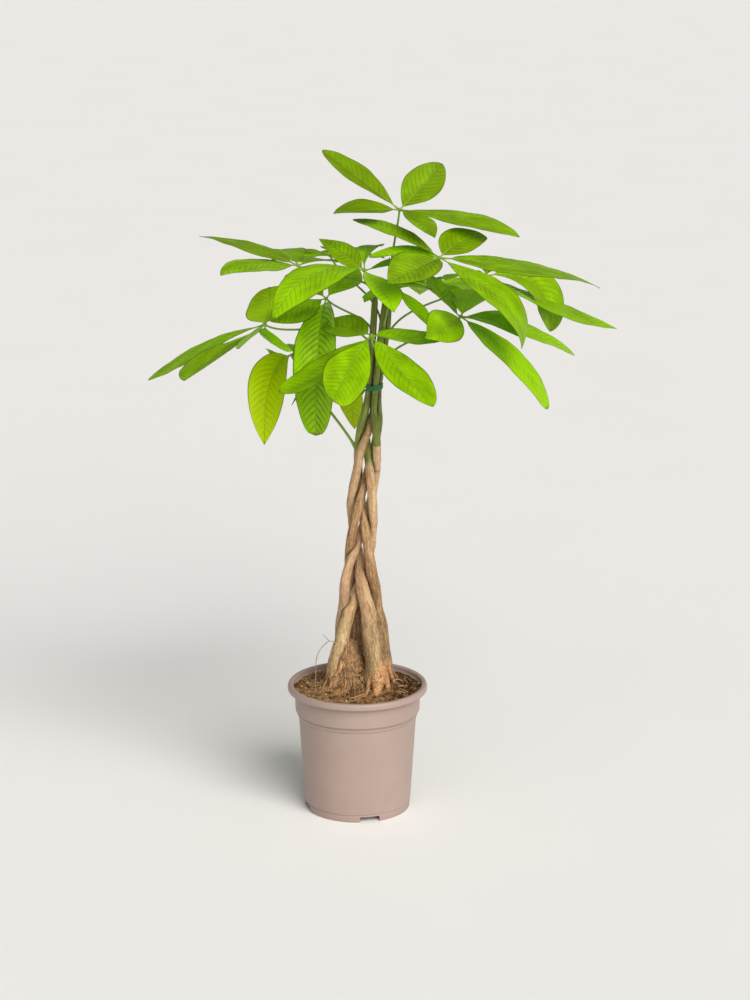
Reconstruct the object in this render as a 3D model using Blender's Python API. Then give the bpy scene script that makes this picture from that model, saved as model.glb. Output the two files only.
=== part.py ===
"""Potted money tree: five braided young trunks, tied at the top, in a round
nursery pot. Metres, +Z up. The pot stands on Z = 0 and the origin is the
centre of the whole plant's footprint, so the pot's axis sits a little off it.
"""
import math

import bmesh
import bpy
import numpy as np
from mathutils import Vector

MM = 0.001

# ------------------------------------------------------------------ sizes, mm
POT_AXIS = (-34.0, -16.0)     # pot axis in the part's frame (x, y)
POT_HEIGHT = 158.0
RIM_RADIUS = 85.0             # outside of the rolled rim: a 170 mm pot
RIM_DEPTH = 7.8
BAND_RADIUS = 76.0            # straight collar under the rim
STEP_Z = 117.0                # where the collar steps in to the tapered wall
WALL_TOP_RADIUS = 71.8
WALL_FOOT_RADIUS = 64.9
FOOT_RADIUS = 64.0
FOOT_INNER = 60.5
FLOOR_Z = 8.0                 # underside of the raised floor
WALL = 2.2
NOTCH_WIDTH = 24.5
NOTCH_HEIGHT = 7.0
NOTCH_ANGLE = 14.0            # first notch, from the front (-Y) towards +X
DRAIN_RADIUS = 5.0
DRAIN_PITCH = 46.0            # drain holes' distance from the axis
SOIL_Z = 150.0                # soil level at the wall
SOIL_MOUND = 5.0              # how much higher it stands round the trunks
GAP = 0.4                     # clearance between pieces that touch
STEM_FOOT_Z = 124.0           # the trunks' lower ends, inside the soil
TIE_Z = 528.0
TIE_HEIGHT = 6.0
TIE_THICK = 1.4
LEAF_THICK = 1.2
PETIOLE_BASE_R = 2.3
PETIOLE_TOP_R = 1.5
HUB_R = 3.2

POT_SIDES = 40
STEM_SIDES = 8

# The five trunks of the braid: their place at the soil, their phase in the
# braid, their slot in the ring at the tie, and the height they grow to.
#        name        soil x, y     phase  ring   top
STEMS = {
    "SM": ("trunk_1", -4.0, 23.0, -144.0, 0.0, 674.0),
    "S1": ("trunk_2", -33.0, 16.0, -72.0, 288.0, 642.0),
    "S3": ("trunk_3", -24.0, -11.0, 0.0, 144.0, 634.0),
    "S2": ("trunk_4", 22.0, -18.0, 144.0, 72.0, 628.0),
    "S4": ("trunk_5", 33.0, 8.0, 72.0, 216.0, 638.0),
}
BRAID_X = 2.68                # braid half-width and half-depth, in trunk radii
BRAID_Y = 2.50
BRAID_LOW, BRAID_HIGH = 250.0, 500.0
BRAID_RATE = 234.0 / 233.0    # degrees of phase for each millimetre of height

# Trunk radius and lean of the braid's centre line along the height.
RADIUS_Z = [100, 120, 150, 165, 185, 215, 240, 265, 300, 330, 360, 395, 425,
            470, 500, 530, 580, 640, 700]
RADIUS_R = [7.5, 9.0, 10.2, 10.6, 9.6, 7.8, 6.2, 5.5, 5.1, 4.9, 4.8, 4.7, 4.5,
            4.2, 3.9, 4.0, 3.9, 3.5, 3.1]
LEAN_Z = [100, 150, 215, 300, 330, 360, 395, 425, 462, 500, 530, 580, 640, 700]
LEAN_X = [0, 1, 4, 4, 4, 6, 8, 11, 14, 17, 20, 25, 31, 37]

# Compound leaves. Each has the trunk it grows on, the height it leaves it,
# the side it leaves it on (degrees, 0 = +X, 90 = +Y; None = the growing tip),
# the hub where its leaflets meet, and its leaflets:
# (heading, rise, length, width, droop, roll) in degrees and millimetres.
LEAVES = {
    "leaf_01": ("SM", 674, None, (50, 0, 738), [
        (160, 34, 116, 45, -1, -14), (51, 29, 93, 47, -12, 33),
        (-157, 0, 83, 52, 7, -11), (-18, -10, 148, 50, 24, 8),
        (-65, -12, 96, 33, 19, -4)]),
    "leaf_02": ("S1", 642, None, (95, -80, 695), [
        (142, 14, 131, 36, 22, -2), (46, 9, 84, 44, 38, 28),
        (15, -13, 201, 65, 23, -19), (-38, -39, 162, 65, 86, 0),
        (-123, -7, 110, 56, 8, -20), (165, -2, 84, 46, 15, -4)]),
    "leaf_03": ("S4", 638, None, (9, -60, 677), [
        (-143, -19, 147, 65, 81, -9), (126, 15, 94, 28, -1, -40),
        (-73, -14, 119, 46, 26, -15), (78, 7, 99, 31, 44, -9),
        (30, 0, 102, 41, 15, 0)]),
    "leaf_04": ("S3", 634, None, (-69, 20, 669), [
        (164, 13, 127, 50, 20, 28), (-145, -1, 109, 59, 34, -5),
        (104, 1, 104, 45, 20, 0), (57, -6, 84, 41, 20, 0)]),
    "leaf_05": ("S4", 580, 190, (-107, -40, 610), [
        (170, -27, 159, 45, 16, 21), (-141, -24, 126, 60, -13, 17),
        (-101, -2, 123, 38, 14, 35), (-69, -11, 85, 41, -25, -26),
        (89, 16, 98, 57, -21, -13)]),
    "leaf_06": ("S1", 556, 262, (17, -110, 611), [
        (134, 0, 81, 38, 18, -34), (-166, -29, 124, 66, -25, -4),
        (-109, -22, 135, 52, -3, -24), (-50, -31, 125, 61, 0, -6),
        (25, -6, 94, 44, -9, -32)]),
    "leaf_07": ("SM", 556, -30, (120, -70, 625), [
        (-113, -3, 110, 48, 5, -43), (-34, -39, 154, 57, 42, -6),
        (18, -21, 153, 47, 24, -21), (116, 27, 80, 40, -25, 24),
        (-48, -6, 95, 53, 34, 2), (76, 10, 94, 48, 10, 0)]),
    "leaf_08": ("SM", 590, 25, (153, 60, 649), [
        (11, -23, 179, 58, -10, -18), (21, -41, 134, 64, 110, 8),
        (78, -1, 113, 45, 20, 2), (123, -12, 86, 43, 20, 0)]),
    "leaf_09": ("S4", 452, 175, (-78, 40, 557), [
        (-113, -50, 140, 52, 102, -9), (113, -8, 80, 29, -20, 43),
        (75, -9, 86, 41, 40, 0)]),
    "leaf_10": ("S3", 596, 200, (-36, 6, 632), [
        (-96, -54, 187, 66, 70, 30), (-142, -13, 83, 53, 22, 55),
        (125, 10, 88, 44, 15, -20), (62, 16, 84, 40, 15, 24)]),
    "leaf_11": ("S3", 550, 130, (-15, 70, 538), [
        (43, -79, 83, 36, 8, -20), (133, -32, 99, 48, 40, 0),
        (69, -29, 113, 48, 40, 0), (91, -8, 125, 48, 50, 0),
        (178, -38, 84, 41, 40, 0)]),
    "leaf_12": ("S2", 600, 110, (-33, 120, 664), [
        (-159, -5, 50, 38, 20, 0), (114, -14, 102, 48, 30, 0),
        (81, -11, 115, 48, 30, 0), (31, -8, 79, 45, 20, 0),
        (157, -12, 92, 45, 35, 0)]),
    "leaf_13": ("S2", 628, None, (89, 140, 624), [
        (24, -15, 102, 48, 40, 4), (62, -18, 122, 50, 40, 0),
        (95, -16, 128, 50, 40, 0), (136, -11, 89, 45, 40, 0),
        (-68, -6, 84, 41, 20, 0), (-165, -8, 88, 43, 20, 0)]),
    "leaf_14": ("S1", 604, 300, (40, -36, 655), [
        (-42, -34, 80, 36, 12, -12), (-135, -18, 46, 28, 15, 8),
        (6, -8, 50, 30, 22, 0), (38, -2, 50, 30, 20, 0)]),
}

# base colour, roughness
POT_PLASTIC = ((0.52, 0.41, 0.36, 1.0), 0.45)
POTTING_SOIL = ((0.11, 0.06, 0.035, 1.0), 0.95)
BARK = ((0.42, 0.29, 0.17, 1.0), 0.8)
GREEN_TIE = ((0.0, 0.23, 0.11, 1.0), 0.5)
LEAF_GREEN = ((0.19, 0.42, 0.01, 1.0), 0.4)


# ------------------------------------------------------------------- helpers
def clear_scene():
    for ob in list(bpy.data.objects):
        bpy.data.objects.remove(ob, do_unlink=True)


def material(name, colour, roughness):
    mat = bpy.data.materials.new(name)
    mat.use_nodes = True
    bsdf = mat.node_tree.nodes["Principled BSDF"]
    bsdf.inputs["Base Color"].default_value = colour
    bsdf.inputs["Roughness"].default_value = roughness
    bsdf.inputs["Metallic"].default_value = 0.0
    return mat


def make_object(name, verts, faces, look, parent):
    """One closed mesh object, in millimetres, under the plant's empty."""
    mesh = bpy.data.meshes.new(name)
    mesh.from_pydata([[c * MM for c in v] for v in verts], [], faces)
    bm = bmesh.new()
    bm.from_mesh(mesh)
    bmesh.ops.remove_doubles(bm, verts=bm.verts, dist=1e-6)
    bmesh.ops.recalc_face_normals(bm, faces=bm.faces)
    if bm.calc_volume(signed=True) < 0:
        bmesh.ops.reverse_faces(bm, faces=bm.faces)
    bm.to_mesh(mesh)
    bm.free()
    ob = bpy.data.objects.new(name, mesh)
    bpy.context.scene.collection.objects.link(ob)
    ob.parent = parent
    if look:
        mesh.materials.append(material(name, *look))
    return ob


def turned(profile, sides):
    """A closed profile of (radius, z) turned about Z. Radius 0 is the axis."""
    verts, rings = [], []
    for r, z in profile:
        if r == 0:
            rings.append([len(verts)])
            verts.append((0.0, 0.0, z))
        else:
            rings.append([len(verts) + i for i in range(sides)])
            for i in range(sides):
                a = 2 * math.pi * (i + 0.5) / sides
                verts.append((r * math.cos(a), r * math.sin(a), z))
    faces = []
    for k in range(len(rings)):
        a, b = rings[k], rings[(k + 1) % len(rings)]
        for i in range(sides):
            j = (i + 1) % sides
            if len(a) == 1 and len(b) == 1:
                break
            if len(a) == 1:
                faces.append((a[0], b[i], b[j]))
            elif len(b) == 1:
                faces.append((a[i], b[0], a[j]))
            else:
                faces.append((a[i], b[i], b[j], a[j]))
    return verts, faces


def tube(points, radii, sides, reference, first_normal=None):
    """A capped tube along points, with rings square to the path."""
    pts = [Vector(p) for p in points]
    ref = Vector(reference)
    verts, faces = [], []
    for k, p in enumerate(pts):
        t = (pts[min(k + 1, len(pts) - 1)] - pts[max(k - 1, 0)]).normalized()
        if k == 0 and first_normal is not None:
            t = Vector(first_normal).normalized()
        u = (ref - t * ref.dot(t)).normalized()
        v = t.cross(u)
        for i in range(sides):
            a = 2 * math.pi * i / sides
            verts.append(p + (u * math.cos(a) + v * math.sin(a)) * radii[k])
    n = len(pts)
    for k in range(n - 1):
        for i in range(sides):
            j = (i + 1) % sides
            faces.append((k * sides + i, k * sides + j,
                          (k + 1) * sides + j, (k + 1) * sides + i))
    faces.append(tuple(range(sides))[::-1])
    faces.append(tuple((n - 1) * sides + i for i in range(sides)))
    return verts, faces


def joined(target, tool, operation):
    """Apply a Boolean to target's mesh and remove the tool."""
    mod = target.modifiers.new("join", "BOOLEAN")
    mod.operation = operation
    mod.solver = "EXACT"
    mod.object = tool
    bpy.context.view_layer.update()
    deps = bpy.context.evaluated_depsgraph_get()
    mesh = bpy.data.meshes.new_from_object(target.evaluated_get(deps))
    mesh.name = target.name
    target.modifiers.clear()
    target.data = mesh
    bpy.data.objects.remove(tool, do_unlink=True)


def smooth_step(x):
    x = min(max(x, 0.0), 1.0)
    return x * x * (3 - 2 * x)


def averaged(z, zs, values, window):
    """Piecewise-linear values along z, rounded off over a window."""
    steps = np.linspace(z - window / 2, z + window / 2, 11)
    return float(np.mean(np.interp(steps, zs, values)))


# ----------------------------------------------------------------- the braid
def stem_radius(z):
    return averaged(z, RADIUS_Z, RADIUS_R, 20.0)


def stem_centre(key, z):
    """Centre of a trunk at height z: it rises from its own place in the soil,
    weaves through a flat figure-of-eight braid, then stands in a ring."""
    _, x0, y0, phase, ring, _ = STEMS[key]
    r = stem_radius(max(z, 280.0))
    turn = 270.0 + (min(max(z, BRAID_LOW), BRAID_HIGH) - 267.0) * BRAID_RATE
    t = math.radians(turn + phase)
    x = BRAID_X * r * math.cos(t)
    y = -BRAID_Y * r * math.sin(2 * t)
    spread = 1.06 * stem_radius(z) / math.sin(math.radians(36)) \
        + 0.06 * max(z - 540.0, 0.0)
    s = smooth_step((z - 478.0) / 45.0)
    a = math.radians(ring)
    x = x * (1 - s) + spread * math.cos(a) * s
    y = y * (1 - s) + spread * math.sin(a) * s
    x += averaged(z, LEAN_Z, LEAN_X, 40.0)
    b = smooth_step((z - 150.0) / 125.0)
    return x0 * (1 - b) + x * b, y0 * (1 - b) + y * b, z


def stem_tube(key, low, grow):
    """Points and radii of a trunk, with a rounded tip."""
    top = STEMS[key][5]
    count = max(2, round((top - low) / 12.5))
    zs = [low + (top - low) * i / count for i in range(count + 1)]
    pts = [stem_centre(key, z) for z in zs]
    rad = [stem_radius(z) + grow for z in zs]
    rad[-1] *= 0.72
    return pts, rad


# --------------------------------------------------------------- the leaves
def bezier(p0, p1, p2, p3, n):
    out = []
    for i in range(n + 1):
        t = i / n
        out.append(p0 * (1 - t) ** 3 + p1 * 3 * t * (1 - t) ** 2
                   + p2 * 3 * t * t * (1 - t) + p3 * t ** 3)
    return out


def petiole(key, z, side, hub):
    """Leaf stalk from the trunk's side, or its tip, out to the hub."""
    hub = Vector(hub)
    c = Vector(stem_centre(key, z))
    if side is None:
        out = (c - Vector(stem_centre(key, z - 8.0))).normalized()
        p0 = c + out * (GAP + 0.1)
        d = (hub - p0).length
        p1 = p0 + out * d * 0.35
    else:
        a = math.radians(side)
        out = Vector((math.cos(a), math.sin(a), 0.0))
        p0 = c + out * (stem_radius(z) + GAP)
        d = (hub - p0).length
        p1 = p0 + out * d * 0.16 + Vector((0, 0, d * 0.28))
    p2 = hub - ((hub - p0).normalized() * 0.6 + Vector((0, 0, 0.3))) * d * 0.35
    pts = bezier(p0, p1, p2, hub, 9)
    rad = [PETIOLE_BASE_R + (PETIOLE_TOP_R - PETIOLE_BASE_R)
           * min(1.0, i / 4) for i in range(10)]
    flat = (hub - p0)
    ref = Vector((-flat.y, flat.x, 0.0))
    if ref.length < 1.0:
        ref = Vector((1.0, 0.0, 0.0))
    return tube(pts, rad, 6, ref.normalized(), first_normal=out)


def blade_width(t):
    """Half-width of a leaflet along its length, 0..1, narrow at the stalk."""
    t = (t - 0.07) / 0.93
    if t <= 0:
        return 0.0
    return math.sin(math.pi * min(t, 1.0) ** 1.15) ** 0.85 if t < 1 else 0.0


def leaflet(hub, heading, rise, length, width, droop, roll, n=7):
    """A thin closed blade whose midrib is an arc in a vertical plane."""
    step = 1.0 / n
    p = Vector(hub)
    h = math.radians(heading)
    flat = Vector((math.cos(h), math.sin(h), 0.0))
    side0 = Vector((-math.sin(h), math.cos(h), 0.0))
    pitch0 = math.radians(rise + droop / 2)
    r = math.radians(roll)
    fold = math.radians(12.0)
    verts = []
    start = p + (flat * math.cos(pitch0) + Vector((0, 0, 1))
                 * math.sin(pitch0)) * 1.5
    p = start
    for i in range(n + 1):
        t = i * step
        pitch = pitch0 - math.radians(droop) * t
        d = flat * math.cos(pitch) + Vector((0, 0, 1)) * math.sin(pitch)
        up = d.cross(side0)
        s = side0 * math.cos(r) + up * math.sin(r)
        u = up * math.cos(r) - side0 * math.sin(r)
        w = max(width / 2 * blade_width(t), 1.2 if i == 0 else 0.9)
        half = u * LEAF_THICK / 2
        left = p + (s * math.cos(fold) + u * math.sin(fold)) * w
        right = p + (-s * math.cos(fold) + u * math.sin(fold)) * w
        verts += [left + half, p + half, right + half,
                  left - half, p - half, right - half]
        if i < n:
            mid = pitch0 - math.radians(droop) * (t + step / 2)
            p = p + (flat * math.cos(mid) + Vector((0, 0, 1))
                     * math.sin(mid)) * (length - 1.5) * step
    faces = []
    for i in range(n):
        a, b = i * 6, (i + 1) * 6
        faces += [(a, a + 1, b + 1, b), (a + 1, a + 2, b + 2, b + 1),
                  (a + 3, b + 3, b + 4, a + 4), (a + 4, b + 4, b + 5, a + 5),
                  (a, b, b + 3, a + 3), (a + 2, a + 5, b + 5, b + 2)]
    e = n * 6
    faces += [(0, 3, 4, 1), (1, 4, 5, 2),
              (e, e + 1, e + 4, e + 3), (e + 1, e + 2, e + 5, e + 4)]
    return verts, faces


def hub_ball(hub):
    """A small rounded knuckle where the leaflets and the stalk meet."""
    prof = [(0, -HUB_R), (HUB_R * 0.8, -HUB_R * 0.6), (HUB_R, 0.15),
            (HUB_R * 0.75, HUB_R * 0.65), (0, HUB_R)]
    verts, _ = turned(prof, 8)
    faces = []
    rows = [[0], list(range(1, 9)), list(range(9, 17)), list(range(17, 25)),
            [25]]
    for a, b in zip(rows, rows[1:]):
        for i in range(8):
            j = (i + 1) % 8
            if len(a) == 1:
                faces.append((a[0], b[j], b[i]))
            elif len(b) == 1:
                faces.append((a[i], a[j], b[0]))
            else:
                faces.append((a[i], a[j], b[j], b[i]))
    return [Vector(v) + Vector(hub) for v in verts], faces


def compound_leaf(name, spec, parent):
    key, z, side, hub, leaflets = spec
    ob = make_object(name, *petiole(key, z, side, hub), LEAF_GREEN, parent)
    joined(ob, make_object("knuckle", *hub_ball(hub), None, parent), "UNION")
    for k, row in enumerate(leaflets):
        blade = make_object("blade", *leaflet(hub, *row), None, parent)
        joined(ob, blade, "UNION")
    return ob


# ------------------------------------------------------------------- the pot
def pot(parent):
    inner_top = RIM_RADIUS - 6.5
    collar_in = BAND_RADIUS - WALL
    wall_in = WALL_TOP_RADIUS - WALL
    floor_in = WALL_FOOT_RADIUS - WALL - 0.5
    profile = [
        (0, FLOOR_Z), (FOOT_INNER, FLOOR_Z), (FOOT_INNER, 0),
        (FOOT_RADIUS, 0), (FOOT_RADIUS + 0.3, FLOOR_Z),
        (FOOT_RADIUS - 0.2, FLOOR_Z + 0.6), (WALL_FOOT_RADIUS, FLOOR_Z + 1.6),
        (WALL_TOP_RADIUS, STEP_Z - 3.3), (BAND_RADIUS, STEP_Z + 3.0),
        (BAND_RADIUS + 0.6, POT_HEIGHT - RIM_DEPTH - 2.0),
        (RIM_RADIUS - 0.8, POT_HEIGHT - RIM_DEPTH),
        (RIM_RADIUS, POT_HEIGHT - RIM_DEPTH + 1.6),
        (RIM_RADIUS, POT_HEIGHT - 1.8), (RIM_RADIUS - 1.4, POT_HEIGHT),
        (inner_top + 1.0, POT_HEIGHT), (inner_top, POT_HEIGHT - 1.2),
        (inner_top - 1.0, POT_HEIGHT - 5.0), (collar_in + 0.6, POT_HEIGHT - 9),
        (collar_in, STEP_Z + 2.0), (wall_in, STEP_Z - 2.6),
        (floor_in, FLOOR_Z + 2.0), (0, FLOOR_Z + 2.0)]
    ob = make_object("pot", *turned(profile, POT_SIDES), POT_PLASTIC, parent)
    for k in range(4):
        a = math.radians(NOTCH_ANGLE + 90.0 * k - 90.0)
        ux, uy = math.cos(a), math.sin(a)
        w = NOTCH_WIDTH / 2
        corners = []
        for r, s in ((FOOT_INNER - 6, -w), (FOOT_RADIUS + 6, -w),
                     (FOOT_RADIUS + 6, w), (FOOT_INNER - 6, w)):
            corners.append((ux * r - uy * s, uy * r + ux * s))
        verts = [(x, y, -2.0) for x, y in corners] \
            + [(x, y, NOTCH_HEIGHT) for x, y in corners]
        faces = [(3, 2, 1, 0), (4, 5, 6, 7), (0, 1, 5, 4), (1, 2, 6, 5),
                 (2, 3, 7, 6), (3, 0, 4, 7)]
        joined(ob, make_object("notch", verts, faces, None, parent),
               "DIFFERENCE")
        cx, cy = DRAIN_PITCH * ux, DRAIN_PITCH * uy
        pts = [(cx, cy, FLOOR_Z - 2.0), (cx, cy, FLOOR_Z + 4.0)]
        drill = make_object("drain", *tube(pts, [DRAIN_RADIUS] * 2, 10,
                                           (1, 0, 0)), None, parent)
        joined(ob, drill, "DIFFERENCE")
    return ob


def soil(parent):
    """Root ball and soil filling the pot, with a socket for each trunk."""
    profile = [
        (0, FLOOR_Z + 2.0 + GAP),
        (WALL_FOOT_RADIUS - WALL - 0.5 - GAP, FLOOR_Z + 2.0 + GAP),
        (WALL_TOP_RADIUS - WALL - GAP, STEP_Z - 2.6),
        (BAND_RADIUS - WALL - GAP, STEP_Z + 2.0 + GAP),
        (BAND_RADIUS - WALL + 0.5 - GAP, SOIL_Z)]
    for k in range(1, 5):
        r = (BAND_RADIUS - WALL) * (1 - k / 5)
        profile.append((r, SOIL_Z + SOIL_MOUND * smooth_step(k / 4)))
    profile.append((0, SOIL_Z + SOIL_MOUND))
    ob = make_object("soil", *turned(profile, POT_SIDES), POTTING_SOIL, parent)
    for key in STEMS:
        pts, rad = stem_tube(key, STEM_FOOT_Z - GAP, GAP)
        keep = [i for i, p in enumerate(pts) if p[2] < 215.0]
        hole = make_object("socket", *tube([pts[i] for i in keep],
                                           [rad[i] for i in keep],
                                           STEM_SIDES, (1, 0, 0)), None,
                           parent)
        joined(ob, hole, "DIFFERENCE")
    return ob


def tie(parent):
    """Soft plastic band round the five stems, with its two twisted ends."""
    r_in = 1.06 * stem_radius(TIE_Z) / math.sin(math.radians(36)) \
        + stem_radius(TIE_Z) + 0.8
    cx = averaged(TIE_Z, LEAN_Z, LEAN_X, 40.0)
    h = TIE_HEIGHT / 2
    prof = [(r_in, TIE_Z - h), (r_in + TIE_THICK, TIE_Z - h + 1),
            (r_in + TIE_THICK, TIE_Z + h - 1), (r_in, TIE_Z + h)]
    verts, faces = turned(prof, 30)
    verts = [(x + cx, y, z) for x, y, z in verts]
    ob = make_object("tie", verts, faces, GREEN_TIE, parent)
    a = math.radians(-115.0)
    out = Vector((math.cos(a), math.sin(a), 0.0))
    mid = Vector((cx, 0, TIE_Z)) + out * (r_in + TIE_THICK)
    across = Vector((-out.y, out.x, 0.0))
    path = [mid - across * 7 + out * 2.4 + Vector((0, 0, -3)),
            mid - across * 3 + out * 1.8, mid + out * 0.8,
            mid + across * 3 + out * 1.8,
            mid + across * 6 + out * 2.6 + Vector((0, 0, 3))]
    ends = make_object("ends", *tube(path, [1.0, 1.5, 1.7, 1.5, 1.0], 6,
                                     (0, 0, 1)), None, parent)
    joined(ob, ends, "UNION")
    return ob


def main():
    clear_scene()
    root = bpy.data.objects.new("money_tree", None)
    bpy.context.scene.collection.objects.link(root)
    root.location = (POT_AXIS[0] * MM, POT_AXIS[1] * MM, 0.0)
    made = [pot(root), soil(root), tie(root)]
    for key, spec in STEMS.items():
        pts, rad = stem_tube(key, STEM_FOOT_Z, 0.0)
        made.append(make_object(spec[0], *tube(pts, rad, STEM_SIDES,
                                               (1, 0, 0)), BARK, root))
    for name, spec in LEAVES.items():
        made.append(compound_leaf(name, spec, root))
    for ob in made:
        ob.data.shade_smooth()
        ob.data.set_sharp_from_angle(angle=math.radians(40))


main()
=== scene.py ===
"""The looks of the potted money tree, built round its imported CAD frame.

Lengths below are in millimetres from the pot's axis, +Z up, as the plant is
modelled. The pot's axis stands at POT_AXIS in the frame.
"""
import math
import random

import bmesh
import bpy
import numpy as np
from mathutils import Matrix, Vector, noise


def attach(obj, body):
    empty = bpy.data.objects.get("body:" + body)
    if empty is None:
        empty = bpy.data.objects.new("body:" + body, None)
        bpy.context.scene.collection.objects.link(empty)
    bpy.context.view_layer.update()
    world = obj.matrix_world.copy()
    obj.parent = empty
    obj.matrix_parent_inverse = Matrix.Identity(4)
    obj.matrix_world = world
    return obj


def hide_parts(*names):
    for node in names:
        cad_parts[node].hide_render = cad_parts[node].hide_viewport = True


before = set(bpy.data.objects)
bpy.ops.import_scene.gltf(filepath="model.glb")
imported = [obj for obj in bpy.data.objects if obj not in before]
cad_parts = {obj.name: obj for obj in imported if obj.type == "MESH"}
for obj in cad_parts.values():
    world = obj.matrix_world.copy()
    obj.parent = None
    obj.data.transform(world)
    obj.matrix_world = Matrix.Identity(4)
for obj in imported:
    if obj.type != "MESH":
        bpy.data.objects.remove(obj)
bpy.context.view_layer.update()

MM = 0.001
POT_AXIS = (-34.0, -16.0)
POT_HEIGHT = 158.0
RIM_RADIUS = 85.0
RIM_DEPTH = 7.8
BAND_RADIUS = 76.0
STEP_Z = 117.0
WALL_TOP_RADIUS = 71.8
WALL_FOOT_RADIUS = 64.9
FOOT_RADIUS = 64.0
FOOT_INNER = 60.5
FLOOR_Z = 8.0
WALL = 2.2
NOTCH_WIDTH = 24.5
NOTCH_HEIGHT = 7.0
NOTCH_ANGLE = 14.0
DRAIN_RADIUS = 5.0
DRAIN_PITCH = 46.0
SOIL_Z = 150.0
SOIL_MOUND = 5.0
TIE_Z = 528.0

STEMS = {
    "SM": ("trunk_1", -4.0, 23.0, -144.0, 0.0, 674.0),
    "S1": ("trunk_2", -33.0, 16.0, -72.0, 288.0, 642.0),
    "S3": ("trunk_3", -24.0, -11.0, 0.0, 144.0, 634.0),
    "S2": ("trunk_4", 22.0, -18.0, 144.0, 72.0, 628.0),
    "S4": ("trunk_5", 33.0, 8.0, 72.0, 216.0, 638.0),
}
BRAID_X, BRAID_Y = 2.68, 2.50
BRAID_LOW, BRAID_HIGH = 250.0, 500.0
BRAID_RATE = 234.0 / 233.0
RADIUS_Z = [100, 120, 150, 165, 185, 215, 240, 265, 300, 330, 360, 395, 425,
            470, 500, 530, 580, 640, 700]
RADIUS_R = [7.5, 9.0, 10.2, 10.6, 9.6, 7.8, 6.2, 5.5, 5.1, 4.9, 4.8, 4.7, 4.5,
            4.2, 3.9, 4.0, 3.9, 3.5, 3.1]
LEAN_Z = [100, 150, 215, 300, 330, 360, 395, 425, 462, 500, 530, 580, 640, 700]
LEAN_X = [0, 1, 4, 4, 4, 6, 8, 11, 14, 17, 20, 25, 31, 37]

# The trunks' full girth: they press into each other where they cross.
GIRTH_Z = [100, 150, 168, 185, 220, 250, 268, 300, 330, 360, 400, 430, 460,
           500, 530, 580, 640, 700]
GIRTH_R = [9.0, 11.2, 11.6, 10.8, 9.1, 7.6, 6.8, 6.0, 5.7, 5.5, 5.3, 5.1, 4.9,
           4.4, 4.2, 4.1, 3.6, 3.1]
# Each trunk's girth against that, and how far it strays to +X, by height.
GIRTH_OF = {
    "SM": ([150, 190, 205, 235, 270, 304, 330],
           [1.0, 1.05, 1.2, 1.2, 1.0, 1.08, 1.0]),
    "S1": ([150, 210, 270, 330, 400, 430, 480], [.8, .8, .92, .97, .97, .9, 1]),
    "S3": ([150, 185, 215, 250, 265, 290, 330],
           [1.12, 1.08, .94, .96, 1.1, 1.1, 1.0]),
    "S2": ([150, 195, 219, 255, 275, 297, 340],
           [1.0, .97, 1.14, 1.2, 1.27, 1.14, 1.0]),
    "S4": ([150, 211, 248, 268, 285, 310, 340],
           [.86, .9, .94, 1.08, 1.17, 1.12, 1.0]),
}
STRAY = {
    "SM": ([150, 240, 290, 600, 674], [2, 2, 0, 0, -7]),
    "S1": ([150, 190, 212, 232, 265, 292, 310, 327, 343, 370],
           [9, 6.5, 2.5, -3.3, -5.8, -8.4, -7.5, -4.2, -2.5, 0]),
    "S3": ([150, 180, 215, 236, 259, 285, 310],
           [0, -4, -6.9, -8.5, -7.1, -3, 0]),
    "S2": ([195, 219, 235, 255, 279, 297, 312, 345, 381, 403, 428, 453, 475],
           [-.2, -2, -2.2, -2.6, -3.2, -1.7, 1.4, 0, -2.2, -1.5, -1.4, -2.9,
            .4]),
    "S4": ([150, 190, 211, 232, 248, 271, 297, 320],
           [-2, 3, 5.5, 8, 5.8, 3.7, .1, -.3]),
}
# Height at which the bark gives way to green young stem, and how sharply.
GREEN_FROM = {"SM": (470, 10), "S1": (458, 1.5), "S3": (434, 12),
              "S2": (487, 7), "S4": (448, 6)}

# Each trunk's own bark: darker or paler, and how pinkish.
BARK_TINT = {"SM": (-0.05, 0.1, 0), "S1": (0.03, 0.6, 0),
             "S3": (0.08, 0.0, 0), "S2": (0.02, 0.2, 0),
             "S4": (-0.03, 0.1, 0)}

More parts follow.
